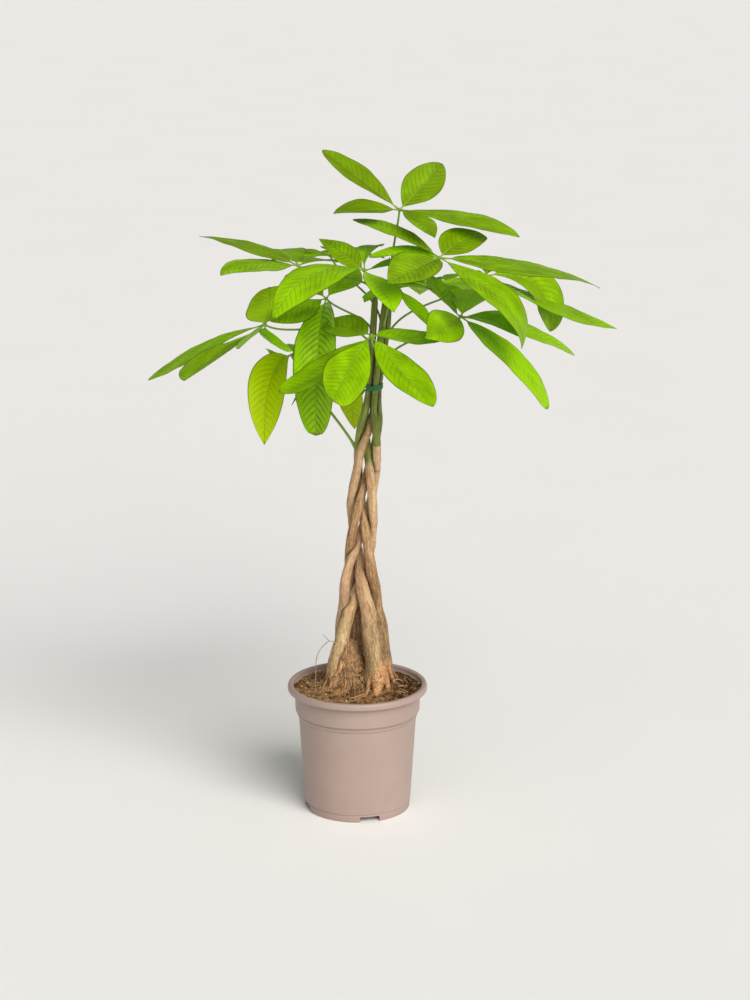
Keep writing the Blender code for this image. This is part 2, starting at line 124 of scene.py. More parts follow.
LEAVES = {
    "leaf_01": ("SM", 674, None, (50, 0, 738), [
        (160, 34, 116, 45, -1, -14), (51, 29, 93, 47, -12, 33),
        (-157, 0, 83, 52, 7, -11), (-18, -10, 148, 50, 24, 8),
        (-65, -12, 96, 33, 19, -4)]),
    "leaf_02": ("S1", 642, None, (95, -80, 695), [
        (142, 14, 131, 36, 22, -2), (46, 9, 84, 44, 38, 28),
        (15, -13, 201, 65, 23, -19), (-38, -39, 162, 65, 86, 0),
        (-123, -7, 110, 56, 8, -20), (165, -2, 84, 46, 15, -4)]),
    "leaf_03": ("S4", 638, None, (9, -60, 677), [
        (-143, -19, 147, 65, 81, -9), (126, 15, 94, 28, -1, -40),
        (-73, -14, 119, 46, 26, -15), (78, 7, 99, 31, 44, -9),
        (30, 0, 102, 41, 15, 0)]),
    "leaf_04": ("S3", 634, None, (-69, 20, 669), [
        (164, 13, 127, 50, 20, 28), (-145, -1, 109, 59, 34, -5),
        (104, 1, 104, 45, 20, 0), (57, -6, 84, 41, 20, 0)]),
    "leaf_05": ("S4", 580, 190, (-107, -40, 610), [
        (170, -27, 159, 45, 16, 21), (-141, -24, 126, 60, -13, 17),
        (-101, -2, 123, 38, 14, 35), (-69, -11, 85, 41, -25, -26),
        (89, 16, 98, 57, -21, -13)]),
    "leaf_06": ("S1", 556, 262, (17, -110, 611), [
        (134, 0, 81, 38, 18, -34), (-166, -29, 124, 66, -25, -4),
        (-109, -22, 135, 52, -3, -24), (-50, -31, 125, 61, 0, -6),
        (25, -6, 94, 44, -9, -32)]),
    "leaf_07": ("SM", 556, -30, (120, -70, 625), [
        (-113, -3, 110, 48, 5, -43), (-34, -39, 154, 57, 42, -6),
        (18, -21, 153, 47, 24, -21), (116, 27, 80, 40, -25, 24),
        (-48, -6, 95, 53, 34, 2), (76, 10, 94, 48, 10, 0)]),
    "leaf_08": ("SM", 590, 25, (153, 60, 649), [
        (11, -23, 179, 58, -10, -18), (21, -41, 134, 64, 110, 8),
        (78, -1, 113, 45, 20, 2), (123, -12, 86, 43, 20, 0)]),
    "leaf_09": ("S4", 452, 175, (-78, 40, 557), [
        (-113, -50, 140, 52, 102, -9), (113, -8, 80, 29, -20, 43),
        (75, -9, 86, 41, 40, 0)]),
    "leaf_10": ("S3", 596, 200, (-36, 6, 632), [
        (-96, -54, 187, 66, 70, 30), (-142, -13, 83, 53, 22, 55),
        (125, 10, 88, 44, 15, -20), (62, 16, 84, 40, 15, 24)]),
    "leaf_11": ("S3", 550, 130, (-15, 70, 538), [
        (43, -79, 83, 36, 8, -20), (133, -32, 99, 48, 40, 0),
        (69, -29, 113, 48, 40, 0), (91, -8, 125, 48, 50, 0),
        (178, -38, 84, 41, 40, 0)]),
    "leaf_12": ("S2", 600, 110, (-33, 120, 664), [
        (-159, -5, 50, 38, 20, 0), (114, -14, 102, 48, 30, 0),
        (81, -11, 115, 48, 30, 0), (31, -8, 79, 45, 20, 0),
        (157, -12, 92, 45, 35, 0)]),
    "leaf_13": ("S2", 628, None, (89, 140, 624), [
        (24, -15, 102, 48, 40, 4), (62, -18, 122, 50, 40, 0),
        (95, -16, 128, 50, 40, 0), (136, -11, 89, 45, 40, 0),
        (-68, -6, 84, 41, 20, 0), (-165, -8, 88, 43, 20, 0)]),
    "leaf_14": ("S1", 604, 300, (40, -36, 655), [
        (-42, -34, 80, 36, 12, -12), (-135, -18, 46, 28, 15, 8),
        (6, -8, 50, 30, 22, 0), (38, -2, 50, 30, 20, 0)]),
}

# What each leaflet has of its own, by leaf number and leaflet number.
# tone: 0 dark, 1 pale young green, partly the leaf's age and partly painted
# light: leaflets sitting in shade are given paler tones; warm: how yellow it
# is, on the back-lit leaflet (11, 1) painted light shining through it;
# gloss_and_painted_light: how shiny it is, with its painted highlight and
# groove shade; the rest change the blade's form (see add_leaflet()).
OWN = {
    (1, 1): dict(tone=.47, bend=.96, tip=.63, left=.97, sweep=-2, fold=14),
    (1, 2): dict(tone=.55, bend=.6, peak=1.01, tip=.61, right=.92, sweep=6,
                 twist=16, fold=10),
    (1, 3): dict(tone=.52, bend=1.27, peak=1.21, tip=.84, right=1.04,
                 twist=29, fold=14),
    (1, 4): dict(tone=.72, bend=2.74, peak=.98, tip=.72, left=1.03, sweep=-4,
                 twist=9, fold=2),
    (1, 5): dict(tone=.59, bend=1.22, tip=.96, twist=7, fold=14),
    (2, 1): dict(tone=.72, bend=1.51, peak=1.01, tip=.66, twist=-10, fold=10),
    (2, 2): dict(tone=.57, bend=1.94, peak=.85, tip=.71, left=1.04,
                 right=.89, sweep=18, twist=2, fold=6),
    (2, 3): dict(tone=.73, roll=7, bend=3.2, peak=.85, tip=.7, left=.83,
                 right=1.19, sweep=-2, twist=-13, fold=2),
    (2, 4): dict(tone=.76, bend=3.2, peak=1.32, tip=.75, left=1.08,
                 right=.96, sweep=-24, twist=-20, fold=5),
    (2, 5): dict(tone=.64, gloss_and_painted_light=.15, bend=.82, peak=.95, left=1.03,
                 sweep=10, twist=-15, fold=17),
    (2, 6): dict(tone=1, bend=.6, peak=.85, tip=.6, left=1.07, right=1.04,
                 sweep=-14, twist=-14, fold=17),
    (3, 1): dict(tone=.89, bend=1.25, peak=.85, left=1.16, right=.86,
                 sweep=5, twist=-29, fold=2, quilt=.6),
    (3, 2): dict(tone=.73, bend=.95, peak=.85, left=.87, sweep=-20, twist=16,
                 fold=11),
    (3, 3): dict(tone=1, bend=1.99, peak=1.18, tip=.98, right=.95, sweep=-2,
                 twist=18, fold=14),
    (3, 4): dict(tone=.88, bend=.88, peak=1.48, tip=.8, right=.96, sweep=30,
                 twist=9, fold=15),
    (3, 5): dict(tone=1),
    (4, 1): dict(tone=.59, roll=0, bend=1.86, peak=.85, tip=.78, left=1.03,
                 sweep=3, twist=14, fold=3),
    (4, 2): dict(tone=.84, gloss_and_painted_light=.15, bend=3.2, peak=1, tip=.8, left=1.06,
                 right=1.07, sweep=-7, twist=5, fold=2),
    (4, 3): dict(tone=.79),
    (4, 4): dict(tone=.86),
    (5, 1): dict(tone=.8, roll=-13, bend=.6, tip=.7, sweep=5, twist=-7,
                 fold=6),
    (5, 2): dict(tone=.69, bend=1.29, peak=1.75, tip=.69, left=.97,
                 right=1.15, sweep=-18, twist=2, fold=23, quilt=.6),
    (5, 3): dict(tone=1, bend=.72, tip=.79, sweep=9, twist=2, fold=8),
    (5, 4): dict(tone=1, bend=.76, peak=1.19, tip=.82, left=.97, sweep=-28,
                 twist=6, fold=15),
    (5, 5): dict(tone=.99, warm=.5, bend=.64, peak=.85, tip=.36, left=.97,
                 right=.97, sweep=-10, twist=-6, fold=2),
    (6, 1): dict(tone=.67, bend=1.61, peak=.85, tip=.59, left=.94, sweep=-7,
                 twist=-10, fold=9),
    (6, 2): dict(tone=.79, bend=2.27, peak=1, tip=.52, left=1.05, right=.96,
                 sweep=11, twist=-20, fold=13, quilt=.6),
    (6, 3): dict(tone=.81, bend=1.1, peak=1.19, tip=.36, sweep=-15,
                 twist=-42, fold=6, quilt=.3),
    (6, 4): dict(tone=.78, peak=1.06, tip=.7, left=1.07, right=1.06,
                 sweep=-4, twist=2, fold=6, quilt=.34),
    (6, 5): dict(tone=.88, roll=13, bend=1.3, peak=.85, tip=.52, right=1.04,
                 sweep=12, twist=2, fold=8),
    (7, 1): dict(tone=.76, bend=1.22, peak=.97, tip=1.15, left=.94, sweep=13,
                 twist=-11, fold=8),
    (7, 2): dict(tone=1, bend=1.93, peak=.85, tip=.43, right=1.04, sweep=-12,
                 twist=2, fold=3),
    (7, 3): dict(tone=.92, roll=15, bend=1.99, peak=1, tip=.45, sweep=-2,
                 twist=-1, fold=7),
    (7, 4): dict(tone=.82, bend=.71, peak=1.35, tip=.5, sweep=17, twist=3,
                 fold=14),
    (7, 5): dict(tone=1, bend=1.85, peak=1.21, sweep=-2, twist=-11, fold=17),
    (7, 6): dict(tone=1),
    (8, 1): dict(tone=.82, roll=9, bend=.6, peak=.9, left=1.1, right=1.05,
                 sweep=-2, twist=11, fold=2),
    (8, 2): dict(tone=.77, roll=38, bend=1.46, peak=1.32, tip=.72,
                 right=1.08, sweep=30, twist=20, fold=11),
    (8, 3): dict(tone=.62),
    (8, 4): dict(tone=1),
    (9, 1): dict(tone=1, warm=1, bend=.68, peak=.86, sweep=-30, twist=-18,
                 fold=28, quilt=.3),
    (9, 2): dict(tone=.62, bend=1.19, peak=1.31, tip=.77, sweep=17, twist=19,
                 fold=4),
    (9, 3): dict(tone=1),
    (10, 1): dict(tone=.97, gloss_and_painted_light=1, bend=.77, peak=.85, tip=.39, left=1.11,
                  right=.9, sweep=-8, twist=3, fold=20, quilt=1.5),
    (10, 2): dict(tone=.77, roll=-11, bend=.6, peak=1.2, tip=.73, left=1.09,
                  right=.92, sweep=11, twist=-13, fold=2),
    (10, 3): dict(tone=.62),
    (10, 4): dict(tone=1),
    (11, 1): dict(tone=1, warm=1, bend=.6, peak=.86, tip=.76, left=1.07,
                  right=.89, sweep=3, twist=-1, fold=9),
    (11, 2): dict(tone=.62),
    (11, 3): dict(tone=.62),
    (11, 4): dict(tone=.62),
    (11, 5): dict(tone=.62),
    (12, 1): dict(tone=.96),
    (12, 2): dict(tone=1),
    (12, 3): dict(tone=.62),
    (12, 4): dict(tone=.62),
    (12, 5): dict(tone=.73),
    (13, 1): dict(tone=1),
    (13, 2): dict(tone=.99),
    (13, 3): dict(tone=1),
    (13, 4): dict(tone=.62),
    (13, 5): dict(tone=1),
    (13, 6): dict(tone=.58),
    (14, 1): dict(tone=1),
    (14, 2): dict(tone=1),
    (14, 3): dict(tone=1),
    (14, 4): dict(tone=.62),
}


def rgb(r, g, b):
    """A display colour, 0..255, as linear values."""
    out = []
    for c in (r, g, b):
        c /= 255.0
        out.append(c / 12.92 if c <= 0.04045 else ((c + 0.055) / 1.055) ** 2.4)
    return (*out, 1.0)


# ------------------------------------------------------------- mesh helpers
class Build:
    """Collects shapes, in mm, into one mesh with four point attributes."""

    def __init__(self):
        self.v, self.f, self.m, self.n = [], [], [], 0
        self.att = {"c1": [], "c2": [], "c3": [], "c4": []}

    def add(self, verts, faces, mat=0, **att):
        verts = np.asarray(verts, float).reshape(-1, 3)
        for group in faces:
            group = np.asarray(group, int)
            if len(group):
                self.f += (group + self.n).tolist()
                self.m += [mat] * len(group)
        self.v.append(verts)
        for name, rows in self.att.items():
            a = np.zeros((len(verts), 3))
            if name in att:
                a[:] = att[name]
            rows.append(a)
        self.n += len(verts)

    def object(self, name, materials, node=None, slot=None, move=True):
        v = np.concatenate(self.v)
        if move:
            v = v + np.array([POT_AXIS[0], POT_AXIS[1], 0.0])
        mesh = bpy.data.meshes.new(name)
        mesh.from_pydata((v * MM).tolist(), [], self.f)
        for m in materials:
            mesh.materials.append(m)
        mesh.polygons.foreach_set("material_index", self.m)
        for key, rows in self.att.items():
            a = mesh.attributes.new(key, "FLOAT_VECTOR", "POINT")
            a.data.foreach_set("vector", np.concatenate(rows).ravel())
        mesh.shade_smooth()
        mesh.validate()
        mesh.update()
        ob = bpy.data.objects.new(name, mesh)
        bpy.context.scene.collection.objects.link(ob)
        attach(ob, "root")
        if node:
            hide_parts(node)
        return ob


def ring_faces(rows, sides, closed_caps=True):
    """Quads of a tube of rows x sides points, without end fans."""
    i = np.arange(rows - 1)[:, None]
    j = np.arange(sides)[None, :]
    k = (j + 1) % sides
    quads = np.stack([i * sides + j, i * sides + k, (i + 1) * sides + k,
                      (i + 1) * sides + j], -1).reshape(-1, 4)
    return quads


def frames(pts, ref):
    """Unit tangents and two normals along a path, from a fixed reference."""
    t = np.gradient(pts, axis=0)
    t /= np.linalg.norm(t, axis=1)[:, None]
    ref = np.asarray(ref, float)
    u = ref - t * (t @ ref)[:, None]
    u /= np.linalg.norm(u, axis=1)[:, None]
    return t, u, np.cross(t, u)


def steady_frames(pts):
    """Tangents and normals carried along the path without twisting."""
    t = np.gradient(pts, axis=0)
    t /= np.linalg.norm(t, axis=1)[:, None] + 1e-12
    u = np.zeros_like(t)
    a = np.array([1.0, 0, 0]) if abs(t[0][0]) < 0.8 else np.array([0, 1.0, 0])
    for k in range(len(pts)):
        a = a - t[k] * (a @ t[k])
        a = a / np.linalg.norm(a)
        u[k] = a
    return t, u, np.cross(t, u)


def add_tube(build, pts, radii, sides=8, mat=0, ref=None, c2=(0, 0, 0),
             c3=(0, 0, 0), squash=1.0, rounded=True):
    """A closed tube with rounded ends; c1 holds its straightened place."""
    pts = np.asarray(pts, float)
    radii = np.asarray(radii, float) * np.ones(len(pts))
    t, u, v = steady_frames(pts) if ref is None else frames(pts, ref)
    arc = np.concatenate([[0], np.cumsum(np.linalg.norm(
        np.diff(pts, axis=0), axis=1))])
    if rounded:                      # two shrinking rings close each end
        def ended(a, lo, hi):
            return np.concatenate([lo, a, hi])
        r0, r1 = radii[0], radii[-1]
        pts = ended(pts, [pts[0] - t[0] * r0 * .75, pts[0] - t[0] * r0 * .5],
                    [pts[-1] + t[-1] * r1 * .5, pts[-1] + t[-1] * r1 * .75])
        radii = ended(radii, [r0 * .35, r0 * .8], [r1 * .8, r1 * .35])
        arc = ended(arc, [arc[0], arc[0]], [arc[-1], arc[-1]])
        t, u, v = (ended(a, [a[0], a[0]], [a[-1], a[-1]]) for a in (t, u, v))
    ang = np.arange(sides) * 2 * math.pi / sides
    co, si = np.cos(ang), np.sin(ang)
    ring = (u[:, None] * co[None, :, None]
            + v[:, None] * si[None, :, None] * squash)
    verts = pts[:, None] + ring * radii[:, None, None]
    c1 = np.stack([radii[:, None] * co, radii[:, None] * si,
                   arc[:, None] * np.ones(sides)], -1)
    n = len(pts)
    quads = ring_faces(n, sides)
    caps = [list(range(sides))[::-1],
            [(n - 1) * sides + i for i in range(sides)]]
    build.add(verts, [quads, caps], mat, c1=c1.reshape(-1, 3), c2=c2, c3=c3)


def turned(profile, sides, start=0.5):
    """A closed profile of (radius, z) turned about Z."""
    verts, rings = [], []
    for r, z in profile:
        if r == 0:
            rings.append([len(verts)])
            verts.append((0.0, 0.0, z))
        else:
            rings.append([len(verts) + i for i in range(sides)])
            for i in range(sides):
                a = 2 * math.pi * (i + start) / sides
                verts.append((r * math.cos(a), r * math.sin(a), z))
    quads, tris = [], []
    for k in range(len(rings)):
        a, b = rings[k], rings[(k + 1) % len(rings)]
        if len(a) == 1 and len(b) == 1:
            continue
        for i in range(sides):
            j = (i + 1) % sides
            if len(a) == 1:
                tris.append((a[0], b[i], b[j]))
            elif len(b) == 1:
                tris.append((a[i], b[0], a[j]))
            else:
                quads.append((a[i], b[i], b[j], a[j]))
    return verts, quads, tris


def smooth_step(x):
    x = np.clip(x, 0.0, 1.0)
    return x * x * (3 - 2 * x)


def averaged(z, zs, values, window):
    steps = np.linspace(z - window / 2, z + window / 2, 11)
    return float(np.mean(np.interp(steps, zs, values)))


def cad_radius(z):
    return averaged(z, RADIUS_Z, RADIUS_R, 20.0)


def girth(z, key="SM"):
    return averaged(z, GIRTH_Z, GIRTH_R, 14.0) \
        * averaged(z, *GIRTH_OF[key], 14.0)


def stem_centre(key, z):
    _, x0, y0, phase, ring, _ = STEMS[key]
    r = cad_radius(max(z, 280.0))
    turn = 270.0 + (min(max(z, BRAID_LOW), BRAID_HIGH) - 267.0) * BRAID_RATE
    t = math.radians(turn + phase)
    x = BRAID_X * r * math.cos(t)
    y = -BRAID_Y * r * math.sin(2 * t)
    spread = 0.86 * cad_radius(z) / math.sin(math.radians(36)) \
        + 0.06 * max(z - 540.0, 0.0)
    s = smooth_step((z - 478.0) / 45.0)
    a = math.radians(ring)
    x = x * (1 - s) + spread * math.cos(a) * s
    y = y * (1 - s) + spread * math.sin(a) * s
    x += averaged(z, LEAN_Z, LEAN_X, 40.0)
    b = smooth_step((z - 150.0) / 125.0)
    x = x0 * (1 - b) + x * b + averaged(z, *STRAY[key], 16.0)
    return np.array([x, y0 * (1 - b) + y * b, z])


def stem_lines():
    """Each stem's centre line as a table over height."""
    zs = np.arange(100.0, 701.0, 2.0)
    return zs, {k: np.array([[*stem_centre(k, z)[:2], girth(z, k)]
                             for z in zs]) for k in STEMS}


LINE_Z, LINES = stem_lines()


def closeness(key, pts):
    """1 where a point of one stem touches or enters another, 0 if clear."""
    best = np.full(len(pts), 1e9)
    for other, line in LINES.items():
        if other == key:
            continue
        cx = np.interp(pts[:, 2], LINE_Z, line[:, 0])
        cy = np.interp(pts[:, 2], LINE_Z, line[:, 1])
        r = np.interp(pts[:, 2], LINE_Z, line[:, 2])
        d = np.hypot(pts[:, 0] - cx, pts[:, 1] - cy) - r
        d = np.where(pts[:, 2] > STEMS[other][5] + 2, 1e9, d)
        best = np.minimum(best, d)
    return np.exp(-(np.maximum(best, 0.0) / 2.3) ** 2)


# ------------------------------------------------------------ node helpers
class Graph:
    """A small writer for a material's nodes."""

    def __init__(self, name):
        self.mat = bpy.data.materials.new(name)
        self.mat.use_nodes = True
        self.tree = self.mat.node_tree
        self.tree.nodes.clear()

    def put(self, socket, value):
        if isinstance(value, bpy.types.NodeSocket):
            self.tree.links.new(value, socket)
        else:
            socket.default_value = value

    def node(self, kind, **props):
        n = self.tree.nodes.new(kind)
        for k, v in props.items():
            setattr(n, k, v)
        return n

    def attr(self, name):
        n = self.node("ShaderNodeAttribute", attribute_name=name)
        s = self.node("ShaderNodeSeparateXYZ")
        self.put(s.inputs[0], n.outputs["Vector"])
        return n.outputs["Vector"], s.outputs[0], s.outputs[1], s.outputs[2]

    def place(self):
        return self.node("ShaderNodeTexCoord").outputs["Object"]

    def math(self, op, a, b=0.0, c=0.0, clamp=False):
        n = self.node("ShaderNodeMath", operation=op, use_clamp=clamp)
        for s, v in zip(n.inputs, (a, b, c)):
            self.put(s, v)
        return n.outputs[0]

    def mul(self, a, b):
        return self.math("MULTIPLY", a, b)

    def add(self, a, b):
        return self.math("ADD", a, b)

    def sub(self, a, b):
        return self.math("SUBTRACT", a, b)

    def step(self, v, lo, hi):
        """0 at lo, 1 at hi, eased."""
        n = self.node("ShaderNodeMapRange", interpolation_type="SMOOTHSTEP")
        if lo > hi:
            self.put(n.inputs[0], v)
            n.inputs[1].default_value, n.inputs[2].default_value = hi, lo
            n.inputs[3].default_value, n.inputs[4].default_value = 1.0, 0.0
        else:
            self.put(n.inputs[0], v)
            n.inputs[1].default_value, n.inputs[2].default_value = lo, hi
        return n.outputs[0]

    def span(self, v, a, b, c, d):
        n = self.node("ShaderNodeMapRange")
        self.put(n.inputs[0], v)
        for s, x in zip(n.inputs[1:5], (a, b, c, d)):
            s.default_value = x
        return n.outputs[0]

    def mix(self, f, a, b, blend="MIX"):
        n = self.node("ShaderNodeMix", data_type="RGBA", blend_type=blend)
        self.put(n.inputs[0], f)
        self.put(n.inputs[6], a)
        self.put(n.inputs[7], b)
        return n.outputs[2]

    def mixf(self, f, a, b):
        n = self.node("ShaderNodeMix", data_type="FLOAT")
        self.put(n.inputs[0], f)
        self.put(n.inputs[2], a)
        self.put(n.inputs[3], b)
        return n.outputs[0]

    def ramp(self, f, stops):
        n = self.node("ShaderNodeValToRGB")
        e = n.color_ramp.elements
        while len(e) < len(stops):
            e.new(0.5)
        for el, (p, c) in zip(e, stops):
            el.position = p
            el.color = c
        self.put(n.inputs[0], f)
        return n.outputs[0]

    def vec(self, x, y, z):
        n = self.node("ShaderNodeCombineXYZ")
        for s, v in zip(n.inputs, (x, y, z)):
            self.put(s, v)
        return n.outputs[0]

    def vop(self, op, a, b):
        n = self.node("ShaderNodeVectorMath", operation=op)
        self.put(n.inputs[0], a)
        self.put(n.inputs[1], b)
        return n.outputs[0]

    def noise(self, v, scale, detail=3.0, rough=0.5, warp=0.0):
        n = self.node("ShaderNodeTexNoise")
        self.put(n.inputs["Vector"], v)
        n.inputs["Scale"].default_value = scale
        n.inputs["Detail"].default_value = detail
        n.inputs["Roughness"].default_value = rough
        n.inputs["Distortion"].default_value = warp
        return n.outputs[0]

    def voronoi(self, v, scale, feature="F1", out="Distance"):
        n = self.node("ShaderNodeTexVoronoi", feature=feature)
        self.put(n.inputs["Vector"], v)
        n.inputs["Scale"].default_value = scale
        return n.outputs[out]

    def bump(self, height, strength, distance, normal=None):
        n = self.node("ShaderNodeBump")
        n.inputs["Strength"].default_value = strength
        n.inputs["Distance"].default_value = distance
        self.put(n.inputs["Height"], height)
        if normal is not None:
            self.put(n.inputs["Normal"], normal)
        return n.outputs[0]

    def principled(self, **sockets):
        n = self.node("ShaderNodeBsdfPrincipled")
        for k, v in sockets.items():
            self.put(n.inputs[k.replace("_", " ")], v)
        return n.outputs[0]

    def done(self, shader):
        out = self.node("ShaderNodeOutputMaterial")
        self.put(out.inputs[0], shader)
        return self.mat


# --------------------------------------------------------------- materials
def vein_phase_py(s, x, w, seed):
    ax = np.abs(x)
    q = ax / w
    return (s - 0.60 * ax - 0.45 * ax * q) / 8.2 + 0.27 * np.sign(x) \
        + seed * 7.0


def leaf_material():
    g = Graph("money_leaf")
    _, s, x, w = g.attr("c1")
    _, t, seed, side = g.attr("c2")
    _, tone, warm, gloss_and_painted_light = g.attr("c3")
    ax = g.math("ABSOLUTE", x)
    q = g.math("DIVIDE", ax, g.math("MAXIMUM", w, 0.3))
    # side veins sweep from the midrib towards the tip
    ph = g.sub(g.sub(s, g.mul(ax, 0.60)), g.mul(g.mul(ax, q), 0.45))
    ph = g.add(g.math("DIVIDE", ph, 8.2), g.mul(g.math("SIGN", x), 0.27))
    ph = g.add(ph, g.mul(seed, 7.0))
    wob = g.noise(g.vec(g.mul(s, 0.06), g.mul(x, 0.06), g.mul(seed, 40.0)),
                  1.0, 1.0)
    ph = g.add(ph, g.mul(g.sub(wob, 0.5), 0.35))
    tri = g.math("ABSOLUTE", g.sub(g.math("FRACT", ph), 0.5))  # .5 at a vein
    vein = g.mul(g.step(tri, 0.455, 0.495), g.step(q, 1.0, 0.55))
    vein = g.mul(vein, g.step(t, 0.05, 0.16))
    soft = g.mul(g.step(tri, 0.30, 0.5), g.step(q, 1.02, 0.5))
    rib = g.step(g.add(ax, g.mul(t, 0.55)), 1.15, 0.45)
    low = g.vec(s, x, g.mul(seed, 300.0))
    cells = g.voronoi(g.vop("MULTIPLY", low, (0.62, 0.75, 1.0)), 1.0,
                      "DISTANCE_TO_EDGE")
    net = g.step(cells, 0.10, 0.0)
    blotch = g.noise(g.vop("MULTIPLY", low, (0.030, 0.055, 1.0)), 1.0, 3.0,
                     0.6)
    fine = g.noise(g.vop("MULTIPLY", low, (0.5, 0.5, 1.0)), 1.0, 3.0, 0.6)
    k = g.add(tone, g.mul(g.sub(blotch, 0.5), 0.85))
    k = g.add(k, g.mul(g.sub(fine, 0.5), 0.12))
    # painted shade: darker in the grooves along the side veins, most on the
    # shiny quilted leaves
    k = g.sub(k, g.mul(soft, g.add(0.065, g.mul(gloss_and_painted_light, 0.24))))
    green = g.ramp(k, [(0.0, rgb(88, 106, 0)), (0.3, rgb(116, 142, 0)),
                       (0.6, rgb(137, 176, 0)), (1.0, rgb(180, 234, 0))])
    yellow = g.ramp(k, [(0.0, rgb(150, 176, 0)), (1.0, rgb(216, 240, 0))])
    col = g.mix(warm, green, yellow)
    col = g.mix(g.mul(net, 0.13), col, rgb(156, 192, 24))
    col = g.mix(g.mul(vein, 0.26), col, rgb(172, 204, 44))
    # painted highlight: on the shiny old leaves the crown of each quilt is
    # painted almost white
    painted_crown_highlight = g.mul(g.step(tri, 0.20, 0.04), g.step(q, 1.0, 0.35))
    painted_crown_highlight = g.mul(painted_crown_highlight, g.step(fine, 0.40, 0.62))
    col = g.mix(g.mul(g.mul(painted_crown_highlight, gloss_and_painted_light), 0.6), col, rgb(206, 222, 150))
    ribm = g.mul(rib, g.add(0.30, g.mul(g.step(t, 0.45, 0.0), 0.45)))
    col = g.mix(ribm, col, rgb(190, 216, 96))
    # painted shade: a thin dark outline along each margin
    painted_margin_shade = g.mul(g.step(q, 0.935, 0.99), g.step(w, 1.2, 3.0))
    col = g.mix(g.mul(painted_margin_shade, 0.85), col, rgb(66, 88, 10))
    tipb = g.mul(g.step(t, 0.965, 1.0), 0.7)
    col = g.mix(tipb, col, rgb(104, 104, 34))
    # underside: paler and greyer, with raised veins
    under = g.step(side, 0.2, -0.2)
    pale = g.mix(0.22, col, rgb(142, 168, 50))
    pale = g.mix(g.mul(vein, 0.22), pale, rgb(166, 192, 70))
    col = g.mix(under, col, pale)
    rough = g.span(fine, 0.3, 0.7, 0.32, 0.46)
    rough = g.add(rough, g.mul(under, 0.22))
    rough = g.sub(rough, g.mul(gloss_and_painted_light, 0.20))
    h = g.add(g.mul(soft, -0.55), g.mul(vein, -0.45))
    h = g.add(h, g.mul(rib, -0.8))
    h = g.mixf(under, h, g.mul(h, -1.0))
    h = g.add(h, g.mul(g.math("MINIMUM", cells, 0.3), 0.5))
    h = g.add(h, g.mul(fine, 0.10))
    nrm = g.bump(h, 0.78, 0.0008)
    p = g.principled(Base_Color=col, Roughness=rough, Normal=nrm,
                     Specular_IOR_Level=0.19)
    tr = g.node("ShaderNodeBsdfTranslucent")
    through = g.mix(0.5, col, rgb(178, 206, 0))
    g.put(tr.inputs["Color"], through)
    g.put(tr.inputs["Normal"], nrm)
    mix = g.node("ShaderNodeMixShader")
    mix.inputs[0].default_value = 0.42
    g.put(mix.inputs[1], p)
    g.put(mix.inputs[2], tr.outputs[0])
    return g.done(mix.outputs[0])


def stalk_material():
    g = Graph("leaf_stalk")
    v, x, y, s = g.attr("c1")
    _, along, seed, _ = g.attr("c2")
    n = g.noise(g.vop("MULTIPLY", v, (1.1, 1.1, 0.10)), 1.0, 3.0, 0.6)
    m = g.noise(g.vop("MULTIPLY", v, (0.3, 0.3, 0.03)), 1.0, 2.0)
    col = g.ramp(g.add(g.mul(n, 0.6), g.mul(m, 0.5)),
                 [(0.25, rgb(88, 116, 30)), (0.55, rgb(124, 156, 48)),
                  (0.85, rgb(160, 188, 84))])
    ends = g.step(g.math("ABSOLUTE", g.sub(along, 0.5)), 0.42, 0.5)
    col = g.mix(g.mul(ends, 0.45), col, rgb(120, 150, 60))
    spots = g.step(g.noise(v, 0.9, 2.0, 0.7), 0.66, 0.74)
    col = g.mix(g.mul(spots, 0.35), col, rgb(96, 92, 48))
    p = g.principled(Base_Color=col, Roughness=g.span(n, 0.3, 0.7, 0.4, 0.56),
                     Normal=g.bump(n, 0.35, 0.0004))
    return g.done(p)


